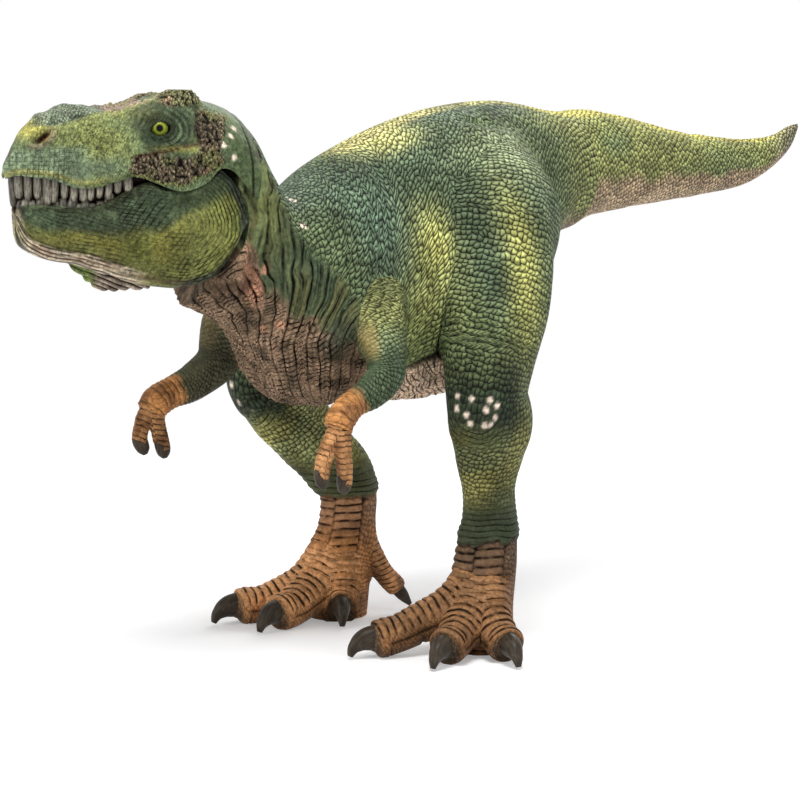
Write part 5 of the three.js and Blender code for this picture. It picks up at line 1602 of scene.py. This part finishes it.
def make_jaw():
    """Lower jaw grid, hollow inside the teeth and round behind the pin. Its creases follow the
    lower edge and, behind the pin, the rim: phase = distance from them / 0.88. A pale rim with its
    own grooves runs along the lower edge. The fold under the chin has slanting strands."""
    rows = smooth(JAW_ROWS, 15)
    points = smooth_loops(skull_loops(rows, jaw_half), 20)
    a, s, z = head_places(points)
    r = np.hypot(s - PIN_AHEAD, z - PIN_Z)
    pull = np.where((s < PIN_AHEAD) & (r > JAW_REAR), JAW_REAR / np.maximum(r, 0.1), 1)
    points[..., 1] = SEAM_Y - (PIN_AHEAD + (s - PIN_AHEAD) * pull)
    points[..., 2] = PIN_Z + (z - PIN_Z) * pull
    a, s, z = head_places(points)
    place = np.stack([a, s, z], -1)
    flat = place[..., 1:]
    n = normals(points)
    edge_x, edge_z, low_z = width_at(rows, 1, s), height_at(rows, 2, s), height_at(rows, 8, s)
    outer = np.clip(ease(a - edge_x, -1.4, -0.3) + ease(low_z + 1.0 - z, 0, 1.5), 0, 1)
    rear = ease(20 - s, 0, 10)
    # creases
    q = np.hypot(np.minimum(s - PIN_AHEAD, 0), z - PIN_Z)
    from_edge = np.where(s < PIN_AHEAD, JAW_RIM - q, z - low_z)
    across = from_edge / 0.88 + 0.8 * cloud(place, 7, 81) + 0.3 * cloud(place, 2.5, 80)
    soft = 0.5 + 0.5 * np.cos(2 * np.pi * across)
    calm = near(flat, (PIN_AHEAD, 111.5), (6, 5))
    lines = (0.7 + 0.35 * rear) * (1 - 0.75 * calm) * (0.75 + 0.5 * cloud(place, 5, 79)) * outer
    along = (s * 0.8 + z * 0.62) / 1.3 + 0.7 * cloud(place, 5, 82)
    corner = near(flat, (22, 110.5), (7, 5))
    slants = np.clip(0.25 + 0.6 * corner + 0.5 * rear * ease(107 - z, 0, 4), 0, 1) * outer
    # pale rim
    rim = ease(low_z + 2.2 + 0.5 * cloud(place, 2.5, 78) - z, -0.2, 0.5) * ease(s, 19, 26)
    snub = ease(s - 46.6 + (z - 108) * -0.2, 0, 1.2)
    rim = np.clip(rim + 0.85 * snub, 0, 1) * outer
    rim_phase = np.where(s > 44, (z - low_z) / 0.95, (z - low_z) / 0.85) + 0.3 * cloud(place, 3, 83)
    rim_lines = groove(rim_phase, 0.26) * rim
    edge_line = hump(z - low_z, 2.4, 0.4) * ease(s, 20, 27) * outer
    lip_edge = hump(z - edge_z, -0.6, 0.6) * outer
    # shape
    move = -0.24 * soft * lines - 0.5 * rim_lines - 0.35 * edge_line + 0.25 * cloud(place, 6, 85)
    move = move - 0.05 + 0.2 * lip_edge
    points = points + n * (move * outer * np.where(r > JAW_RIM, 0.5, 1))[..., None]
    # paint
    bound = np.interp(s, *np.transpose(JAW_BOUND)) + 1.3 * cloud(place, 6, 86)
    above = layered(
        mixed(plain(points, (0.036, 0.054, 0.031)), (0.05, 0.072, 0.036), rear),
        ((0.012, 0.017, 0.01), ease(z - edge_z + 2.2, 0, 1.6) * ease(s, 18, 24) * 0.75),
        ((0.09, 0.12, 0.065), lip_edge * ease(24 - s, 0, 6) * 0.5),
        ((0.1, 0.14, 0.075), ease(cloud(place, 1.6, 93), 0.1, 0.5) * 0.45),
    )
    # painted shade along the rim of the jaw's round rear, where it meets cheek and neck
    rear_rim_shade = ease(q + 0.6 * cloud(place, 3, 90), 12.2, 13.6) * rear
    strip = mottled(place, (0.85, 0.7, 0.5), (0.5, 0.38, 0.26), 3, 89, -0.2)
    strip = mixed(strip, (0.36, 0.34, 0.15), 0.6 * snub)
    paint = layered(
        mottled(place, (0.2, 0.19, 0.045), (0.12, 0.14, 0.032), 6, 88, most=0.7),
        ((0.185, 0.205, 0.06), rear * 0.7),
        ((0.15, 0.155, 0.05), ease(low_z + 6 - z, 0, 3) * (1 - rear) * 0.6),
        (above, ease(z - bound, -1.8, 1.8) * 0.94),
        ((0.035, 0.042, 0.032), rear_rim_shade * 0.9),
        (strip, rim),
        (MOUTH_DARK, (1 - outer) * 0.95),
    )
    cover = skin(
        turned(points),
        paint,
        seam=0,
        cracked=outer * 0.3,
        # groove: painted shade in the pale rim's grooves and along the line above it
        groove=np.clip(rim_lines + 0.6 * edge_line, 0, 1),
        across=across,
        across_strength=np.clip(lines * (1 - rim), 0, 1) * 0.9,
        along=along,
        along_strength=slants * (1 - rim),
        worn=0.08 * outer,
    )
    # fold under the chin
    fold = smooth_loops(skull_loops(smooth(FOLD_ROWS, 12), fold_half), 16)
    a, s, z = head_places(fold)
    place = np.stack([a, s, z], -1)
    strands = (z * 0.93 - s * 0.37) / 1.05 + 0.4 * cloud(place, 4, 91)
    fold = fold - normals(fold) * (0.5 * groove(strands, 0.25))[..., None]
    paint = layered(
        mottled(place, (0.52, 0.43, 0.34), (0.3, 0.24, 0.18), 3, 92, -0.2),
        # painted shade in the grooves between the strands
        ((0.03, 0.022, 0.016), groove(strands, 0.3) * 0.85),
        ((0.16, 0.22, 0.06), ease(s, 28.5, 31) * 0.9),
    )
    fold = skin(turned(fold), paint, seam=0, cracked=0.3, across=strands, across_strength=0.9)
    piece("jaw_hide", [cover, fold], head_hide, body="jaw", stands_for=("lower_jaw",))


# Teeth: pairs, where the row starts and ends in head lengths, how far it stands behind the lip,
# root and tip as shares of the way up from the jaw's edge to the lip, width, depth, and seed
UPPER_ROW = {
    "pairs": 13, "first": 0.02, "last": 0.475, "inset": 1.1, "root": 1.3, "tip": 0.1,
    "wide": 1.95, "thick": 1.9, "seed": 1,
}
LOWER_ROW = {
    "pairs": 12, "first": 0.04, "last": 0.4, "inset": 2.3, "root": -0.35, "tip": 0.3,
    "wide": 2.1, "thick": 1.6, "seed": 2,
}


def tooth_row(pairs, first, last, inset, root, tip, wide, thick, seed):
    """Teeth along both sides: at share t of the way to the tip a ring's size is
    0.8 + 0.25 sin(pi t^0.8), and it closes round at the tip. Their width lies along the lip."""
    skull, jaw = smooth(SKULL_ROWS, 20), smooth(JAW_ROWS, 20)
    at = first + (np.arange(pairs) + 0.5) / pairs * (last - first)
    x = np.interp(at, skull[:, 0], skull[:, 6]) * SKULL_WIDE
    slope = np.gradient(x, at * SKULL)
    lip = LIPS_Z + np.interp(at, skull[:, 0], skull[:, 7]) * SKULL_TALL
    edge = LIPS_Z + np.interp(at, jaw[:, 0], jaw[:, 2]) * SKULL_TALL
    t = np.linspace(0, 1, 15)
    closing = np.sqrt(np.maximum(1 - np.maximum((t - 0.84) / 0.16, 0) ** 2, 0.02))
    size = (0.8 + 0.25 * np.sin(np.pi * t**0.8)) * closing
    skins = []
    for k in range(pairs):
        for sign in (1, -1):
            keys = [np.array([k * 1.0, sign * 3.0, seed + m]) for m in (0, 0.5)]
            luck, other = (scattered(key, 5) - 0.5 for key in keys)
            along = np.array([slope[k] * sign, 1.0, 0.0])
            along /= np.linalg.norm(along)
            across = np.array([along[1] * sign, -along[0] * sign, 0])
            base = np.array([sign * x[k], SNOUT_Y + at[k] * SKULL, 0.0]) - across * inset
            tall = lip[k] - edge[k]
            top, low = edge[k] + root * tall, edge[k] + (tip + 0.4 * luck) * tall
            path = base + t[:, None] * (along * 0.9 * other - across * 0.25)
            path[:, 2] = top + t * (low - top)
            axes = np.broadcast_to(across, path.shape), np.broadcast_to(along, path.shape)
            ring = Tube(path, *axes, size * thick / 2, size * wide / 2 * (1 + 0.3 * other)).grid(18)
            outward = np.sum((ring - ring.mean(1, keepdims=True)) * across, -1)
            gum = np.broadcast_to((1 - ease(t, 0.3, 0.75))[:, None], ring.shape[:2])
            gum = np.maximum(gum, 0.9 * ease(0.75 - np.abs(outward) / thick, 0.3, 0.75))
            skins.append(skin(turned(ring), plain(ring, BONE), groove=gum * 0.7))
    return skins


def make_mouth():
    """Teeth, a wall of gum behind the upper ones, whose rings lie halfway from lip to jaw, and a
    tongue that fills the jaw between them, whose ends close as sqrt(1 - (2t - 1)^6)."""
    piece("upper_teeth", tooth_row(**UPPER_ROW), tooth)
    side_at = np.linspace(0.6, 0.035, 70)
    at = np.concatenate([side_at, side_at[::-1]])
    sign = np.repeat([1.0, -1.0], 70)
    skull, low_row = smooth(SKULL_ROWS, 12), smooth(JAW_ROWS, 12)
    lip = np.interp(at, skull[:, 0], skull[:, 7]) * SKULL_TALL + LIPS_Z
    edge = np.interp(at, low_row[:, 0], low_row[:, 2]) * SKULL_TALL + LIPS_Z
    x = np.interp(at, skull[:, 0], skull[:, 6]) * SKULL_WIDE - 3.9
    y = SNOUT_Y + at * SKULL + 2.6 * ease(0.2 - at, 0, 0.17)
    path = np.stack([np.maximum(x, 0.05) * sign, y, (lip + edge) / 2 + 0.9], 1)
    along = np.gradient(path, axis=0) * [1, 1, 0]
    along /= np.linalg.norm(along, axis=1, keepdims=True)
    up = np.broadcast_to([0, 0, 1.0], path.shape)
    high, thick = (lip - edge) / 2 + 0.4, np.full(len(at), 0.45)
    gums = Tube(path, up, np.cross(along, up), high, thick).grid(20)
    # the gum wall is painted near-black, as painted shade inside the mouth
    gums = skin(turned(gums), plain(gums, (0.035, 0.02, 0.016)), cracked=0.5)
    piece("upper_gums", [gums], head_hide)
    piece("lower_teeth", tooth_row(**LOWER_ROW), tooth, body="jaw")
    t = np.linspace(0, 1, 40)
    at, jaw = 0.1 + 0.54 * t, np.array(JAW_ROWS)
    closing = np.sqrt(np.maximum(1 - (2 * t - 1) ** 6, 0.02))
    wide = closing * (np.interp(at, jaw[:, 0], jaw[:, 1]) * SKULL_WIDE - 3.6)
    edge = np.interp(at, jaw[:, 0], np.minimum(jaw[:, 2], -0.2)) * SKULL_TALL + LIPS_Z
    path = np.stack([0 * t, SNOUT_Y + at * SKULL, edge - 1.4], 1)
    up, side = (np.broadcast_to(axis, path.shape) for axis in ([0, 0, 1.0], [1.0, 0, 0]))
    tongue = Tube(path, up, side, closing * 4.6, wide).grid(40)
    middle = ease(1.1 - np.abs(tongue[..., 0]), 0, 1)
    paint = mixed(plain(tongue, (0.11, 0.04, 0.03)), (0.05, 0.018, 0.015), middle)
    piece("tongue", [skin(turned(tongue), paint, cracked=0.6)], head_hide, body="jaw")


def make_eyes():
    """Eyeball: a sphere by angle from its axis and angle round it, painted in rings of that first
    angle."""
    skins = []
    for sign in (1, -1):
        axis = np.array([0.93 * sign, -0.34, 0.1])
        axis /= np.linalg.norm(axis)
        other = np.cross(axis, [0, 0, 1.0])
        other /= np.linalg.norm(other)
        third = np.cross(axis, other)
        tilt = np.linspace(0.02, np.pi - 0.02, 48)[:, None]
        bearing = np.arange(64)[None] / 64 * 2 * np.pi
        ball = (
            np.cos(tilt)[..., None] * axis
            + (np.sin(tilt) * np.cos(bearing))[..., None] * other
            + (np.sin(tilt) * np.sin(bearing))[..., None] * third
        )
        centre = np.array([sign * EYE_ACROSS, SEAM_Y - EYE[1] + EYE_BACK, EYE[2]])
        points = centre + EYE_SIZE * ball
        angle = np.broadcast_to(np.degrees(tilt), points.shape[:2])
        paint = layered(
            plain(points, (0.02, 0.022, 0.012)),
            ((0.2, 0.25, 0.02), 1 - ease(angle, 46, 54)),
            ((0.36, 0.38, 0.06), ease(angle, 23, 28) * (1 - ease(angle, 30, 40)) * 0.6),
            ((0.003, 0.003, 0.003), 1 - ease(angle, 18, 22)),
        )
        skins.append(skin(turned(points), paint))
    piece("eyes", skins, eye_gloss)


make_torso()
make_tail()
for which_side in ("left", "right"):
    make_leg(which_side)
    make_arm(which_side)
make_head()
make_jaw()
make_mouth()
make_eyes()


# ---- stage ----
FLOOR_HALF = 6.0
FLOOR_LIFT = 0.3  # added to the shaded floor near the figure, which makes it just white
FLOOR_NEAR, FLOOR_FAR = 0.16, 0.42  # metres from the middle, between which it turns plain white
LAMPS = [
    # name, place, aim, size, power
    ("key", (0.3, -0.4, 1.2), (0, -0.02, 0.06), 0.55, 12.5),
    ("fill", (-0.15, -1.15, 0.4), (0, -0.05, 0.06), 0.5, 4.5),
    ("side", (1.1, 0.1, 0.7), (0, 0, 0.07), 0.7, 2.5),
    ("back", (-0.5, 0.9, 0.9), (0, 0, 0.08), 0.7, 6.0),
]
VIEW_BEARING, VIEW_RISE, VIEW_ROLL = np.radians([45.883, 8.187, 0.71])
VIEW_AIM, VIEW_FAR = np.array([-2.994, -15.889, 58.947]), 661.47
VIEW_LENS = 118.06


def seen_rays(tree):
    """1 for camera, glossy and transmission rays, which show the floor or the sky itself."""
    path = tree.nodes.new("ShaderNodeLightPath").outputs
    seen = path["Is Camera Ray"]
    for name in ("Is Glossy Ray", "Is Transmission Ray"):
        either = tree.nodes.new("ShaderNodeMath")
        either.operation = "MAXIMUM"
        tree.links.new(seen, either.inputs[0])
        tree.links.new(path[name], either.inputs[1])
        seen = either.outputs[0]
    return seen


def make_floor():
    """A wide pale floor that keeps the figure's shadow. Seen by camera, glossy and transmission
    rays, the shaded floor is lifted a little, and away from the figure it turns plain white."""
    mesh = bpy.data.meshes.new("floor")
    w = FLOOR_HALF
    mesh.from_pydata([(-w, -w, 0), (w, -w, 0), (w, w, 0), (-w, w, 0)], [], [(0, 1, 2, 3)])
    floor = bpy.data.objects.new("floor", mesh)
    bpy.context.scene.collection.objects.link(floor)
    sockets = {"Base Color": (0.86, 0.86, 0.87, 1), "Roughness": 0.8, "Specular IOR Level": 0.1}
    f = Finish("floor_pale", sockets)
    seen = seen_rays(f.tree)
    lift = f.math("MULTIPLY", seen, FLOOR_LIFT)
    lift = f.add("ShaderNodeEmission", {"Color": (1, 1, 1, 1), "Strength": lift}).outputs[0]
    lifted = f.add("ShaderNodeAddShader", {0: f.shader.outputs[0], 1: lift}).outputs[0]
    far = f.add("ShaderNodeVectorMath", {0: f.coordinates()}, operation="LENGTH").outputs["Value"]
    away = f.math("MULTIPLY", seen, f.between(far, FLOOR_NEAR, FLOOR_FAR))
    white = f.add("ShaderNodeEmission", {"Color": (1, 1, 1, 1), "Strength": 1.0}).outputs[0]
    both = f.add("ShaderNodeMixShader", {0: away, 1: lifted, 2: white})
    out = next(n for n in f.tree.nodes if n.type == "OUTPUT_MATERIAL")
    f.tree.links.new(both.outputs[0], out.inputs[0])
    mesh.materials.append(f.material)


def placed(name, data, right, up, back, place):
    """New object at a place in metres, turned so that its X, Y and Z are right, up and back."""
    made = bpy.data.objects.new(name, data)
    bpy.context.scene.collection.objects.link(made)
    matrix = np.eye(4)
    matrix[:3] = np.stack([right, up, back, place], 1)
    made.matrix_world = Matrix([[*row] for row in matrix])
    return made


def make_light():
    """Soft light from a large panel above, weaker ones low in front, beside and behind, and a pale
    sky that looks white to camera, glossy and transmission rays and lights the figure weakly."""
    world = bpy.data.worlds.new("sky")
    world.use_nodes = True
    bpy.context.scene.world = world
    tree = world.node_tree
    sky = next(n for n in tree.nodes if n.type == "BACKGROUND")
    pick = tree.nodes.new("ShaderNodeMix")
    pick.inputs[2].default_value = 0.2
    pick.inputs[3].default_value = 1.0
    tree.links.new(seen_rays(tree), pick.inputs[0])
    tree.links.new(pick.outputs[0], sky.inputs["Strength"])
    sky.inputs["Color"].default_value = (1, 1, 1, 1)
    for name, place, aim, size, power in LAMPS:
        lamp = bpy.data.lights.new(name, "AREA")
        lamp.size, lamp.energy = size, power
        back = np.array(place) - np.array(aim)
        back /= np.linalg.norm(back)
        right = np.cross([0, 0, 1.0], back)
        right /= np.linalg.norm(right)
        placed(name, lamp, right, np.cross(back, right), back, place)


def make_camera():
    """The photograph's view: 45.9 degrees round to the figure's left, 8.2 above the floor."""
    flat = np.cos(VIEW_RISE)
    back = np.array([np.sin(VIEW_BEARING) * flat, -np.cos(VIEW_BEARING) * flat, np.sin(VIEW_RISE)])
    place = VIEW_AIM + back * VIEW_FAR + HOME
    right = np.cross(-back, [0, 0, 1.0])
    right /= np.linalg.norm(right)
    up = np.cross(right, -back)
    c, s = np.cos(VIEW_ROLL), np.sin(VIEW_ROLL)
    lens = bpy.data.cameras.new("camera")
    lens.sensor_width, lens.sensor_fit, lens.lens = 36.0, "HORIZONTAL", VIEW_LENS
    lens.clip_start, lens.clip_end = 0.02, 50.0
    camera = placed("camera", lens, c * right + s * up, c * up - s * right, back, place * 0.001)
    bpy.context.scene.camera = camera


make_floor()
make_light()
make_camera()
bpy.context.scene.view_settings.view_transform = "Standard"
